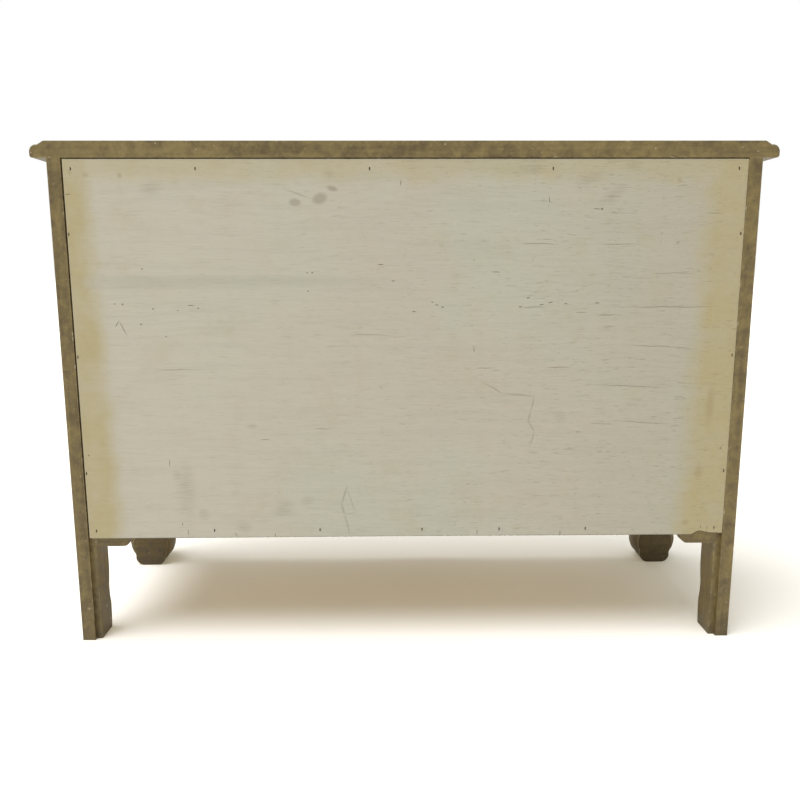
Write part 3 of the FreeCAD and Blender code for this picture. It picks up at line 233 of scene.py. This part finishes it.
# Marks on the panel, which is seen from behind, so that +X is at the photograph's left. Each has
# X, Z, half length and half width in millimetres, and its slope in degrees.
SPECKS = (
    (155, 642, 2, 1.4, 0), (163, 642, 1.5, 1.2, 0), (161, 613, 1.6, 1.3, 0),
    (432, 649, 1.6, 1.3, 0), (439, 559, 1.8, 1.5, 0), (399, 539, 1.5, 1.3, 0),
    (467, 591, 2, 1.6, 0), (480, 592, 1.5, 1.2, 0), (418, 584, 1.8, 1.4, 0),
    (344, 584, 1.8, 1.2, 0), (377, 581, 1.5, 1.2, 0), (-318, 744, 2, 1.8, 0),
    (541, 337, 1.6, 1.6, 0), (-539, 344, 1.8, 1.8, 0), (-524, 194, 2, 1.5, 0),
    (-12, 578, 3, 1, 0), (-188, 587, 3, 1.2, 0), (-201, 601, 3, 1.2, 0), (-264, 591, 3, 1, 0),
    (-316, 592, 4, 1, 0), (-60, 586, 3, 1.2, 20), (-50, 590, 3, 1, 20), (-43, 594, 2.4, 1, 20),
    (-224, 590, 5, 1, -12), (-238, 593, 4, 1, -12), (545, 768, 5, 0.9, 0),
    (-309, 744, 7, 0.7, 0), (42, 656, 5, 0.8, 0), (22, 629, 3.5, 1, 0), (-147, 643, 8, 0.8, 0),
    (355, 589, 6, 0.8, 0),
)
TICKS = (
    (10, 785, 5, 0.9, 90), (-232, 758, 5, 0.9, 84), (-113, 515, 5, 0.8, 90),
    (404, 323, 8, 0.7, 90), (388, 214, 4, 0.8, 90), (379, 198, 6, 0.8, 90),
    (296, 195, 4, 0.8, 88), (229, 192, 5, 0.8, 90), (-122, 197, 5, 0.8, 88),
    (-267, 195, 4, 0.8, 90), (-514, 203, 4, 0.8, 84), (-525, 201, 4, 0.8, 86),
    (479, 560, 7, 0.8, 122), (469, 552, 15, 0.8, 64),
)
SPLITS = (
    (-216, 688, 36, 0.8, 0), (-345, 688, 38, 0.8, 0), (-210, 586, 27, 0.9, 1),
    (-435, 585, 88, 0.9, 0), (-292, 577, 12, 0.8, 0), (-333, 571, 18, 0.9, -2),
    (-255, 485, 23, 1, 1), (-131, 484, 19, 0.8, 0), (387, 483, 38, 0.7, 0),
    (241, 362, 9, 0.8, 0), (142, 381, 15, 0.8, 2), (-420, 520, 60, 0.7, 2),
    (-380, 452, 70, 0.7, 3), (-440, 640, 45, 0.7, -1), (-400, 390, 60, 0.7, 4),
    (60, 540, 40, 0.6, 0),
)
SCRATCHES = (
    (176, 768, 19, 1.6, 18), (-146, 450, 21, 1.4, 29), (-190, 438, 26, 2, 6),
    (-213, 422, 14, 1.6, 99), (-209, 400, 9, 1.8, 105), (-212, 383, 10, 1.8, 58),
    (-214, 363, 12, 1.4, 105), (108, 263, 15, 2, 108), (110, 239, 10, 2.2, 70),
    (103, 212, 19, 1.6, 77), (96, 255, 24, 0.9, 71), (97, 231, 10, 0.9, 175),
)
BROWN_SPOTS = (
    (514, 797, 7, 5, 0), (459, 796, 5, 6, 0), (539, 802, 4, 6, 0), (-441, 789, 4, 6, 20),
    (-516, 418, 10, 46, 0), (-503, 304, 9, 16, 0), (-486, 212, 8, 6, 0),
)
GREY_SMUDGES = (
    (409, 776, 20, 14, 0), (262, 386, 9, 7, 0), (378, 268, 18, 52, 0), (393, 300, 9, 14, 0),
    (350, 230, 12, 12, 0), (292, 268, 12, 10, 0), (282, 208, 16, 12, 10),
    (212, 240, 24, 14, -30), (172, 254, 12, 9, 0), (-261, 400, 12, 12, 0),
    (-202, 809, 22, 14, 0), (124, 799, 12, 9, 0), (-296, 789, 30, 11, -28),
    (-335, 765, 28, 12, -32), (-366, 812, 17, 10, 0),
)
THUMB_MARKS = ((181, 754, 11, 7, 0), (140, 760, 15, 10, -12), (120, 776, 11, 5, 15))
SMOKE_BANDS = ((440, 627, 130, 17, 0), (250, 629, 260, 12, 0))
MARK_DRIFT = 0.005  # how wide the range is in which noise shifts the marks
FINE_CHECKS = ((9.0, 230.0, 44.0), (24.0, 340.0, 80.0))  # scale along, across and of their gaps
WASH_GRAIN = (4.0, 1.0, 95.0)
FIBRE_GRAIN = (22.0, 1.0, 620.0)
PLUS_X_STAIN = (0.49, 0.535)  # where the olive stain begins and is full, towards each edge
MINUS_X_STAIN = (0.466, 0.518)
TOP_STAIN = (0.77, 0.808)
SHADOW_LINE_TOP, SHADOW_LINE_BOTTOM = 0.1909, 0.1901  # the painted shadow line along the lower edge, which falls with +X
SHADOW_LINE_FALL = 0.0028
# width of the painted highlight along the panel's edges
PLY_HIGHLIGHT_WIDTH = 0.002
PLY_RELIEF = 0.0005


def washed_ply(name, start, end):
    """Thin grey-beige wash over plywood: grain and checks along X, olive towards the edges.

    It has the marks that reach between start and end along X, because Cycles can't hold all of
    them in one shader."""
    s = Shade(name)
    drift = s.node("TexNoise", {"Vector": s.place, "Scale": 34.0, "Detail": 2.0}).outputs["Color"]
    drift = s.vector("SUBTRACT", drift, (0.5, 0.5, 0.5))
    drift = s.vector("MULTIPLY", drift, (MARK_DRIFT, 0.0, MARK_DRIFT))
    flat = s.vector("ADD", s.scaled((1.0, 0.0, 1.0)), drift)

    def marks(places, inner, outer):
        """1 on any of the marks, fading out from inner to outer times their size."""
        nearest = 9.0  # farther than any outer
        for x, z, half_length, half_width, slope in places:
            turn = math.radians(slope)
            reach = outer * max(half_length * abs(math.cos(turn)), half_width) * MM + MARK_DRIFT
            if x * MM + reach < start or x * MM - reach > end:
                continue
            local = s.node("Mapping", {"Vector": flat, "Location": (x * MM, 0.0, z * MM),
                                       "Rotation": (0.0, -turn, 0.0),
                                       "Scale": (half_length * MM, 1.0, half_width * MM)},
                           vector_type="TEXTURE").outputs[0]
            nearest = s.math("MINIMUM", nearest, s.length(local))
        return s.between(nearest, outer, inner)

    def stained(clean, mask, share, stain):
        """The clean colour with as much stain on it as the mask times the share."""
        return s.mix(s.math("MULTIPLY", mask, share), clean, stain)

    cloud = s.noise(3.0, 3.0)
    blotch = s.noise(21.0, 4.0, 0.6)
    colour = s.mix(s.between(cloud, 0.42, 0.58), PLY_ROSE, PLY_GREEN)
    # painted light towards +X, painted shade towards -X
    colour = s.mix(s.between(s.x, -0.1, 0.5, 0.0, 0.6), colour, PLY_PAINTED_LIGHT)
    colour = s.mix(s.between(s.x, -0.12, -0.5, 0.0, 0.7), colour, PLY_PAINTED_SHADE)
    colour = s.mix(s.between(blotch, 0.5, 0.75, 0.0, 0.2), colour, PLY_OLIVE)

    wave = s.math("MULTIPLY", s.noise(4.0, 2.0), 0.022)
    lift = s.node("CombineXYZ", {0: s.x, 2: s.math("ADD", s.z, wave)}).outputs[0]
    wash = s.noise(1.0, 3.0, 0.6, start=s.scaled(WASH_GRAIN, lift))
    fibre = s.noise(1.0, 3.0, 0.65, start=s.scaled(FIBRE_GRAIN, lift))
    colour = s.mix(s.between(wash, 0.4, 0.7, 0.0, 0.13), colour, PLY_SMOKE)
    colour = s.mix(s.between(fibre, 0.5, 0.72, 0.0, 0.16), colour, PLY_CRACK)

    ragged = s.math("MULTIPLY", s.math("SUBTRACT", s.noise(14.0, 4.0, 0.6), 0.5), 0.05)
    spread = s.math("MULTIPLY", s.between(s.z, 0.8, 0.2), 0.018)
    ragged_out = s.math("ADD", ragged, spread)
    plus_x_edge = s.between(s.math("ADD", s.x, ragged_out), *PLUS_X_STAIN)
    minus_x_edge = s.between(s.math("SUBTRACT", ragged_out, s.x), *MINUS_X_STAIN)
    top_edge = s.between(s.math("ADD", s.z, ragged), *TOP_STAIN, 0.0, 0.62)
    olive = s.math("MAXIMUM", s.math("MAXIMUM", plus_x_edge, minus_x_edge), top_edge)
    colour = stained(colour, olive, s.between(blotch, 0.2, 0.7, 0.55, 0.88), PLY_OLIVE)
    colour = stained(colour, marks(SMOKE_BANDS, 0.1, 1.2), 0.27, PLY_SMOKE)
    patchy = s.between(fibre, 0.35, 0.6, 0.05, 0.25)
    colour = stained(colour, marks(GREY_SMUDGES, 0.1, 1.3), patchy, PLY_CRACK)
    colour = stained(colour, marks(THUMB_MARKS, 0.45, 1.15), 0.42, PLY_CRACK)
    colour = stained(colour, marks(BROWN_SPOTS, 0.1, 1.2), 0.42, PLY_BROWN)

    dense = s.between(s.x, 0.45, -0.4, 0.35, 1.0)
    check = 0.0
    for along, across, parted in FINE_CHECKS:
        rows = s.noise(1.0, 1.0, 0.5, start=s.scaled((along, 1.0, across), lift))
        line = s.between(s.math("ABSOLUTE", s.math("SUBTRACT", rows, 0.5)), 0.02, 0.0)
        gaps = s.noise(1.0, 2.0, 0.6, start=s.scaled((parted, 1.0, across * 0.7), lift))
        dashes = s.math("MULTIPLY", line, s.between(gaps, 0.5, 0.6))
        check = s.math("MAXIMUM", check, s.math("MULTIPLY", dashes, dense))
    colour = stained(colour, check, 0.36, PLY_CRACK)
    split = marks(SPLITS, 0.3, 1.2)
    colour = stained(colour, split, 0.7, PLY_CRACK)
    colour = stained(colour, marks(SCRATCHES, 0.3, 1.5), 0.34, PLY_CRACK)
    spots = s.math("MAXIMUM", marks(SPECKS, 0.5, 1.2), marks(TICKS, 0.4, 1.2))
    colour = stained(colour, spots, 0.72, PLY_MARK_AND_SHADOW_DARK)
    # painted highlight along the panel's edges
    colour = stained(colour, s.edges(PLY_HIGHLIGHT_WIDTH), 0.6, PLY_PAINTED_LIGHT)
    # painted shadow line along the panel's lower edge
    shadow_line = s.math("ADD", s.z, s.math("MULTIPLY", s.math("MAXIMUM", s.x, 0.0), SHADOW_LINE_FALL))
    colour = s.mix(s.between(shadow_line, SHADOW_LINE_TOP, SHADOW_LINE_BOTTOM, 0.0, 0.7), colour, PLY_MARK_AND_SHADOW_DARK)

    rough = s.between(fibre, 0.3, 0.7, 0.6, 0.8)
    height = s.math("SUBTRACT", s.math("MULTIPLY", fibre, 0.5), s.math("MAXIMUM", check, split))
    return s.finish(colour, Roughness=rough, Normal=s.bump(height, PLY_RELIEF, 0.4))


# ---------------------------------------------------------------- bare wood

WOOD_PALE = srgb(190, 156, 110)
WOOD_MIDDLE = srgb(168, 130, 85)
WOOD_DARK = srgb(126, 90, 54)
WOOD_RELIEF = 0.0006


def bare_wood(name, grain):
    """Dry, unpainted wood inside the drawers and the cupboard."""
    s = Shade(name)
    waves = s.vector("ADD", s.scaled(grain), s.scaled((1.3, 1.3, 1.3)))
    rings = s.noise(1.0, 3.0, 0.5, start=waves, distortion=0.6)
    fibre = s.noise(9.0, 4.0, 0.7, start=s.scaled(grain))
    tone = s.math("ADD", s.math("MULTIPLY", rings, 0.7), s.math("MULTIPLY", fibre, 0.3))
    colour = s.ramp(tone, ((0.36, WOOD_DARK), (0.47, WOOD_MIDDLE), (0.6, WOOD_PALE)))
    colour = s.mix(s.between(s.noise(8.0, 3.0), 0.5, 0.75, 0.0, 0.35), colour, WOOD_DARK)
    rough = s.between(fibre, 0.3, 0.7, 0.55, 0.75)
    return s.finish(colour, Roughness=rough, Normal=s.bump(tone, WOOD_RELIEF, 0.4))


# ---------------------------------------------------------------- metals

BRASS_BRIGHT = srgb(180, 148, 92)
BRASS_DULL = srgb(118, 95, 58)
STEEL_BRIGHT = srgb(150, 146, 138)
STEEL_DARK = srgb(84, 80, 74)
NAIL_GREY = srgb(96, 88, 76)
NAIL_RUST = srgb(70, 48, 32)
POLISHED_WIDTH = 0.0012  # how far from an edge the metal is rubbed bright
METAL_RELIEF = 0.0004


def metal(name, bright, dull, rough_low, rough_high):
    """Metal with a cloudy patina, bright and smooth between the dull patches and at the edges."""
    s = Shade(name)
    patina = s.noise(45.0, 5.0, 0.65)
    fine = s.noise(420.0, 3.0)
    edge = s.edges(POLISHED_WIDTH)
    tone = s.math("ADD", s.math("MULTIPLY", patina, 0.8), s.math("MULTIPLY", fine, 0.2))
    colour = s.mix(s.between(tone, 0.4, 0.62), bright, dull)
    colour = s.mix(s.math("MULTIPLY", edge, 0.6), colour, bright)
    rough = s.between(tone, 0.35, 0.65, rough_low, rough_high)
    return s.finish(colour, Metallic=1.0, Roughness=rough, Normal=s.bump(tone, METAL_RELIEF, 0.35))


# ---------------------------------------------------------------- materials onto the CAD nodes

GRAIN_FINE = 120.0  # streaks a metre, across the grain and along it
GRAIN_LONG = 3.0
WOOD_COARSER = 4  # how much broader the grain of bare wood is than the paint's streaks


def grain_along(axis):
    """Noise scales whose streaks run along the axis."""
    return tuple(GRAIN_LONG if axis == each else GRAIN_FINE for each in "xyz")


GRAINS = {axis: grain_along(axis) for axis in "xyz"}
WOOD_GRAINS = {axis: tuple(scale / WOOD_COARSER for scale in GRAINS[axis]) for axis in "xyz"}
paint = {axis: painted("paint_grain_" + axis, GRAINS[axis]) for axis in "xyz"}
wood = {axis: bare_wood("wood_grain_" + axis, WOOD_GRAINS[axis]) for axis in "xyz"}
brass = metal("aged_brass_metal", BRASS_BRIGHT, BRASS_DULL, 0.28, 0.5)
steel = metal("lock_steel_metal", STEEL_BRIGHT, STEEL_DARK, 0.35, 0.55)
nail_steel = metal("nail_steel_metal", NAIL_GREY, NAIL_RUST, 0.5, 0.75)

slot_of = {part["node"]: part["material_slot"] for part in frame["record"]["subparts"]}


def longest_axis(node):
    """The letter of the axis that the node is longest along."""
    low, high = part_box(node)
    size = high - low
    return "xyz"[max(range(3), key=lambda axis: size[axis])]


def material_for(node):
    """The material of a node's slot, with its grain along the board."""
    slot = slot_of[node]
    if slot == "painted_wood":
        return paint["z" if node.endswith("_panel") else longest_axis(node)]
    if slot == "bare_wood":
        return wood[longest_axis(node)]
    # back_panel_ply is only on the CAD panel, which the scene's own panel replaces and hides
    return {"back_panel_ply": steel, "aged_brass": brass, "lock_steel": steel,
            "steel_fastener": nail_steel}[slot]


def clothe(piece, material):
    """Gives the piece one material."""
    piece.data.materials.clear()
    piece.data.materials.append(material)


SAME_PLACE = 0.00001  # points of a CAD mesh that are nearer to each other are one
FLAT_WITHIN = math.radians(0.5)
SHARP_FROM = math.radians(32)
WOOD_ROUND = 1.2 * MM


def soften(piece, width):
    """Rounds the piece's edges a little, with modifiers that leave its mesh as it is."""
    weld = piece.modifiers.new("weld", "WELD")
    weld.merge_threshold = SAME_PLACE
    flat = piece.modifiers.new("flat", "DECIMATE")
    flat.decimate_type = "DISSOLVE"
    flat.angle_limit = FLAT_WITHIN
    round_off = piece.modifiers.new("round_off", "BEVEL")
    round_off.width = width
    round_off.segments = 2
    round_off.limit_method = "ANGLE"
    round_off.angle_limit = SHARP_FROM
    normals = piece.modifiers.new("normals", "WEIGHTED_NORMAL")
    normals.keep_sharp = False


for name, piece in nodes.items():
    clothe(piece, material_for(name))
    if slot_of[name] in ("painted_wood", "bare_wood"):
        soften(piece, WOOD_ROUND)


# ---------------------------------------------------------------- back panel with worn corners

PANEL_ZONES = 6  # stretches along X, each with a material of its own
PANEL_STEP = 0.004
# Corners of the lower edge, X and Z in millimetres: a chip at the -X end, then nearly straight
LOWER_CORNERS = (
    (-552, 192.5), (-524, 194), (-513, 197.5), (-505, 195.5), (-497, 189.4), (0, 189.7),
    (430, 188.2), (545, 188.2), (550, 190),
)
JAG = 0.0005  # how deep the upper and lower edges are ragged
LOWER_JAGS, UPPER_JAGS = 260, 200  # patches of their noise a metre


def lower_edge(x):
    """Height of the panel's worn lower edge at x."""
    for (x0, z0), (x1, z1) in zip(LOWER_CORNERS, LOWER_CORNERS[1:]):
        if x <= x1 * MM or x1 == LOWER_CORNERS[-1][0]:
            share = (x - x0 * MM) / ((x1 - x0) * MM)
            height = (z0 + share * (z1 - z0)) * MM
            return height + JAG * noise.noise((x * LOWER_JAGS, 0.0, 3.0))


def make_back_panel():
    """The plywood sheet in the CAD panel's place, with a chipped corner and worn edges."""
    low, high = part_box("back_panel")
    count = round((high.x - low.x) / PANEL_STEP)
    mesh = bmesh.new()
    columns = []
    for i in range(count + 1):
        x = low.x + (high.x - low.x) * i / count
        top = high.z - JAG * abs(noise.noise((x * UPPER_JAGS, 5.0, 0.0)))
        bottom = lower_edge(x)
        corners = ((low.y, bottom), (low.y, top), (high.y, top), (high.y, bottom))
        columns.append([mesh.verts.new((x, y, z)) for y, z in corners])
    for i, (near, far) in enumerate(zip(columns, columns[1:])):
        for k in range(4):
            face = mesh.faces.new((near[k], far[k], far[(k + 1) % 4], near[(k + 1) % 4]))
            face.material_index = i * PANEL_ZONES // count
    mesh.faces.new(columns[0])
    mesh.faces.new(columns[-1][::-1]).material_index = PANEL_ZONES - 1
    bmesh.ops.recalc_face_normals(mesh, faces=mesh.faces)
    data = bpy.data.meshes.new("plywood_back")
    mesh.to_mesh(data)
    mesh.free()
    zone = (high.x - low.x) / PANEL_ZONES
    for i in range(PANEL_ZONES):
        start = low.x + zone * i
        data.materials.append(washed_ply(f"washed_ply_{i + 1}", start, start + zone))
    piece = bpy.data.objects.new("plywood_back", data)
    bpy.context.scene.collection.objects.link(piece)
    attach(piece, "carcass")
    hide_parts("back_panel")


make_back_panel()


# ---------------------------------------------------------------- carved front legs

CARVED_TOP = 0.21  # the leg is carved below this, in a mesh with edges up to CARVED_EDGE long
CARVED_EDGE = 0.0025
REFINE_ROUNDS = 4
SMOOTH_UP_TO = math.radians(42)
FOOT = Vector((0.562, -0.167, 0.046))  # middle of the right leg's ball
FOOT_FLAT = 0.037  # how far behind the ball's middle its flat rear face is
FOOT_FLAT_SLACK = 0.0006
# painted shade: the flat rear faces of the front feet, under the cupboard, are tinted darker and
# browner
FOOT_BACK_SHADE_TINT = (0.55, 0.5, 0.27, 1.0)
FOOT_TOP = 0.1
SOLE_RISE = 0.023  # below this height the foot reaches further back and is narrower
SOLE_STRETCH, SOLE_PINCH = 0.5, 0.14
KNEE = Vector((0.543, -0.148, 0.0))  # upright axis of the right leg's knee
CLAW_TURNS = (-22, 45, 112)  # degrees round the ball, from the outer side towards the front
CLAW_CORE, CLAW_SKIRT = 0.5, 1.2  # half widths at which a claw's side begins and ends
CLAW_REACH = 0.02  # the claws count as at least this far from the ball's middle
BACK_KEPT, BACK_CARVED = 0.0008, 0.006  # carving begins and is full this far from the rear face
# Height above the floor, then a claw's half width, how much of the ground's depth it fills, and
# the ground's depth
CLAW_PROFILE = (
    (0.0, 0.002, 0.0, 0.0), (0.009, 0.002, 0.0, 0.005), (0.0145, 0.0022, 0.0, 0.006),
    (0.0185, 0.003, 0.9, 0.0065), (0.036, 0.006, 0.9, 0.0065), (0.052, 0.0084, 1.0, 0.0065),
    (0.064, 0.006, 0.66, 0.0065), (0.08, 0.0092, 1.0, 0.006), (0.096, 0.0064, 0.62, 0.0045),
    (0.13, 0.006, 0.6, 0.0026), (0.165, 0.004, 0.0, 0.0), (0.3, 0.004, 0.0, 0.0),
)
LEAF_LOW, LEAF_HIGH = 0.122, 0.203
LEAF_RISE = 0.0034
LEAF_VEINS = 5
LEAF_TURN = 45  # degrees round the knee, as for the claws; its half width is in degrees too
LEAF_HALF_WIDTH = 58
LEAF_LOBES = 0.14


def smooth_step(value, low, high):
    """Goes smoothly from 0 to 1 while value goes from low to high."""
    share = min(max((value - low) / (high - low), 0.0), 1.0)
    return share * share * (3 - 2 * share)


def claw_profile(height):
    """The claws' half width, filled share and ground depth at this height above the floor."""
    for lower, upper in zip(CLAW_PROFILE, CLAW_PROFILE[1:]):
        if height <= upper[0]:
            share = smooth_step(height, lower[0], upper[0])
            return [a + share * (b - a) for a, b in zip(lower[1:], upper[1:])]
    return CLAW_PROFILE[-1][1:]


def claw_relief(out, front, height):
    """How far the carving moves the ball's skin outwards: 0 or less, as ground is cut away.

    The place is given from the ball's middle, sideways and to the front, and from the floor."""
    half_width, filled, ground = claw_profile(height)
    across = math.hypot(out, front)
    turn = math.degrees(math.atan2(front, out))
    ridge = 0.0
    for claw in CLAW_TURNS:
        away = abs((turn - claw + 180) % 360 - 180)
        aside = math.radians(away) * max(across, CLAW_REACH)
        side = smooth_step(aside, half_width * CLAW_CORE, half_width * CLAW_SKIRT)
        ridge = max(ridge, 1 - side)
    carved = smooth_step(front, -FOOT_FLAT + BACK_KEPT, -FOOT_FLAT + BACK_CARVED)
    return -ground * (1 - filled * ridge) * carved


def leaf_relief(out, front, height):
    """How far a leaf stands out down the knee's outer corner, with a middle and side veins."""
    up = (height - LEAF_LOW) / (LEAF_HIGH - LEAF_LOW)
    if not 0 < up < 1:
        return 0.0
    away = abs((math.degrees(math.atan2(front, out)) - LEAF_TURN + 180) % 360 - 180)
    row = up * LEAF_VEINS
    lobes = 1 + LEAF_LOBES * math.cos(2 * math.pi * (row - 0.35))
    width = LEAF_HALF_WIDTH * math.sin(math.pi * (0.06 + 0.88 * up)) ** 0.8 * lobes
    body = 1 - smooth_step(away, width * 0.86, width)
    vein = 1 - smooth_step(away, 1.5, 5.0)
    side = abs((row - away / width * 0.9) % 1 - 0.5) * 2
    groove = smooth_step(side, 0.72, 1.0) * smooth_step(away, 4.0, 9.0)
    swell = 0.65 + 0.35 * (1 - away / max(width, 1.0))
    ends = smooth_step(up, 0.0, 0.12) * (1 - smooth_step(up, 0.9, 1.0))
    return LEAF_RISE * body * ends * (swell - 0.6 * vein - 0.5 * groove)


def refine(mesh, top, longest):
    """Divides the long edges below top a few times, so that the carving has points to move."""
    for _ in range(REFINE_ROUNDS):
        too_long = [edge for edge in mesh.edges if edge.calc_length() > longest
                    and max(vertex.co.z for vertex in edge.verts) < top]
        bmesh.ops.subdivide_edges(mesh, edges=too_long, cuts=1)
        bmesh.ops.triangulate(mesh, faces=[face for face in mesh.faces if len(face.verts) > 3])


def away_from(centre, place, side):
    """The level direction from an upright axis to a place on the leg."""
    return Vector((place.x - side * centre.x, place.y - centre.y, 0.0)).normalized()


def carved_place(place, side):
    """Where a point of the plain leg is after carving; side is 1 on the right, -1 on the left."""
    low = 1 - smooth_step(place.z, 0.0, SOLE_RISE)
    out, behind = side * place.x - FOOT.x, place.y - FOOT.y
    if behind > 0 and low > 0:
        behind = min(behind * (1 + SOLE_STRETCH * low), FOOT_FLAT)
    out *= 1 - SOLE_PINCH * low
    place = Vector((side * (FOOT.x + out), FOOT.y + behind, place.z))
    claw = claw_relief(out, -behind, place.z)
    leaf = leaf_relief(side * place.x - KNEE.x, KNEE.y - place.y, place.z)
    return place + away_from(FOOT, place, side) * claw + away_from(KNEE, place, side) * leaf


carved_paint = painted("paint_carved", GRAINS["z"], carved=True)
# the feet's flat rear faces: the paint darkened with painted shade
shaded_foot_back = painted("paint_shaded_foot_back", GRAINS["x"], FOOT_BACK_SHADE_TINT)


def make_carved_leg(word, side):
    """The front leg of the CAD with claws round its ball foot and a leaf on its knee."""
    node = f"front_leg_{word}"
    mesh = bmesh.new()
    mesh.from_mesh(nodes[node].data)
    bmesh.ops.remove_doubles(mesh, verts=mesh.verts, dist=SAME_PLACE)
    refine(mesh, CARVED_TOP, CARVED_EDGE)
    for vertex in mesh.verts:
        if vertex.co.z < CARVED_TOP:
            vertex.co = carved_place(vertex.co, side)
    for face in mesh.faces:
        face.smooth = True
        middle = face.calc_center_median()
        # faces on the foot's flat rear face take the paint with painted shade
        on_flat = middle.y > FOOT.y + FOOT_FLAT - FOOT_FLAT_SLACK
        face.material_index = int(on_flat and middle.z < FOOT_TOP)
    name = f"carved_leg_{word}"
    data = bpy.data.meshes.new(name)
    mesh.to_mesh(data)
    mesh.free()
    data.set_sharp_from_angle(angle=SMOOTH_UP_TO)
    data.materials.append(carved_paint)
    data.materials.append(shaded_foot_back)
    piece = bpy.data.objects.new(name, data)
    bpy.context.scene.collection.objects.link(piece)
    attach(piece, "carcass")
    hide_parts(node)


make_carved_leg("right", 1)
make_carved_leg("left", -1)


# ---------------------------------------------------------------- floor, light and camera

WHITE = (1.0, 1.0, 1.0, 1.0)
FLOOR_COLOUR = (0.94, 0.93, 0.92, 1.0)
FLOOR_GLOW = (0.17, 0.155, 0.09, 1.0)
FLOOR_HALF = 60.0
AMBIENT = 0.45  # how strongly the white world lights the cupboard
KEY_FROM = (0.36, 0.2, 1.0)
KEY_STRENGTH = 3.0
KEY_SPREAD = 50
# The photograph's camera: place, then turns in degrees and focal length in millimetres
CAMERA_PLACE = (0.0252, 1.4828, 0.6473)
CAMERA_YAW, CAMERA_DOWN, CAMERA_ROLL = 0.64, 9.74, -0.11
CAMERA_LENS, CAMERA_SENSOR = 34.2, 36.0
CAMERA_NEAR, CAMERA_FAR = 0.05, 200.0


def seen_directly(s):
    """1 for what the camera, a reflection or glass looks at, 0 for the light that it sends."""
    path = s.node("LightPath").outputs
    rays = s.math("MAXIMUM", path["Is Camera Ray"], path["Is Glossy Ray"])
    return s.math("MAXIMUM", rays, path["Is Transmission Ray"])


def make_floor():
    """A wide pale floor, which looks a little brighter than it lights."""
    s = Shade("pale_floor")
    matt = s.node("BsdfDiffuse", {"Color": FLOOR_COLOUR}).outputs[0]
    glow = s.node("Emission", {"Color": FLOOR_GLOW, "Strength": seen_directly(s)}).outputs[0]
    both = s.node("AddShader", {0: matt, 1: glow}).outputs[0]
    s.node("OutputMaterial", {"Surface": both})
    mesh = bpy.data.meshes.new("floor")
    half = FLOOR_HALF
    corners = [(-half, -half, 0), (half, -half, 0), (half, half, 0), (-half, half, 0)]
    mesh.from_pydata(corners, [], [(0, 1, 2, 3)])
    mesh.materials.append(s.material)
    floor = bpy.data.objects.new("floor", mesh)
    bpy.context.scene.collection.objects.link(floor)


def make_world():
    """White where it is looked at, and dimmer for the light that it gives."""
    world = bpy.data.worlds.new("studio")
    world.use_nodes = True
    tree = world.node_tree
    tree.nodes.clear()
    path = tree.nodes.new("ShaderNodeLightPath").outputs
    seen = path["Is Camera Ray"]
    for other in ("Is Glossy Ray", "Is Transmission Ray"):
        either = tree.nodes.new("ShaderNodeMath")
        either.operation = "MAXIMUM"
        tree.links.new(seen, either.inputs[0])
        tree.links.new(path[other], either.inputs[1])
        seen = either.outputs[0]
    strength = tree.nodes.new("ShaderNodeMapRange")
    strength.inputs["To Min"].default_value = AMBIENT
    tree.links.new(seen, strength.inputs["Value"])
    sky = tree.nodes.new("ShaderNodeBackground")
    sky.inputs["Color"].default_value = WHITE
    tree.links.new(strength.outputs[0], sky.inputs["Strength"])
    output = tree.nodes.new("ShaderNodeOutputWorld")
    tree.links.new(sky.outputs[0], output.inputs["Surface"])
    bpy.context.scene.world = world


def make_sun(name, direction, strength, spread):
    """A broad, even lamp that shines from the given direction."""
    data = bpy.data.lights.new(name, "SUN")
    data.energy = strength
    data.angle = math.radians(spread)
    lamp = bpy.data.objects.new(name, data)
    lamp.rotation_mode = "QUATERNION"
    lamp.rotation_quaternion = Vector(direction).to_track_quat("Z", "Y")
    bpy.context.scene.collection.objects.link(lamp)


def make_camera():
    """Stands where the photograph was taken, behind the cupboard."""
    data = bpy.data.cameras.new("camera")
    data.sensor_width = CAMERA_SENSOR
    data.lens = CAMERA_LENS
    data.dof.use_dof = False
    data.clip_start, data.clip_end = CAMERA_NEAR, CAMERA_FAR
    camera = bpy.data.objects.new("camera", data)
    turn = (Matrix.Rotation(math.radians(180 - CAMERA_YAW), 4, "Z")
            @ Matrix.Rotation(math.radians(90 - CAMERA_DOWN), 4, "X")
            @ Matrix.Rotation(math.radians(CAMERA_ROLL), 4, "Z"))
    camera.matrix_world = Matrix.Translation(CAMERA_PLACE) @ turn
    bpy.context.scene.collection.objects.link(camera)
    bpy.context.scene.camera = camera


make_floor()
make_world()
make_sun("key_lamp", KEY_FROM, KEY_STRENGTH, KEY_SPREAD)
make_camera()
bpy.context.scene.view_settings.view_transform = "Standard"

bpy.context.view_layer.update()
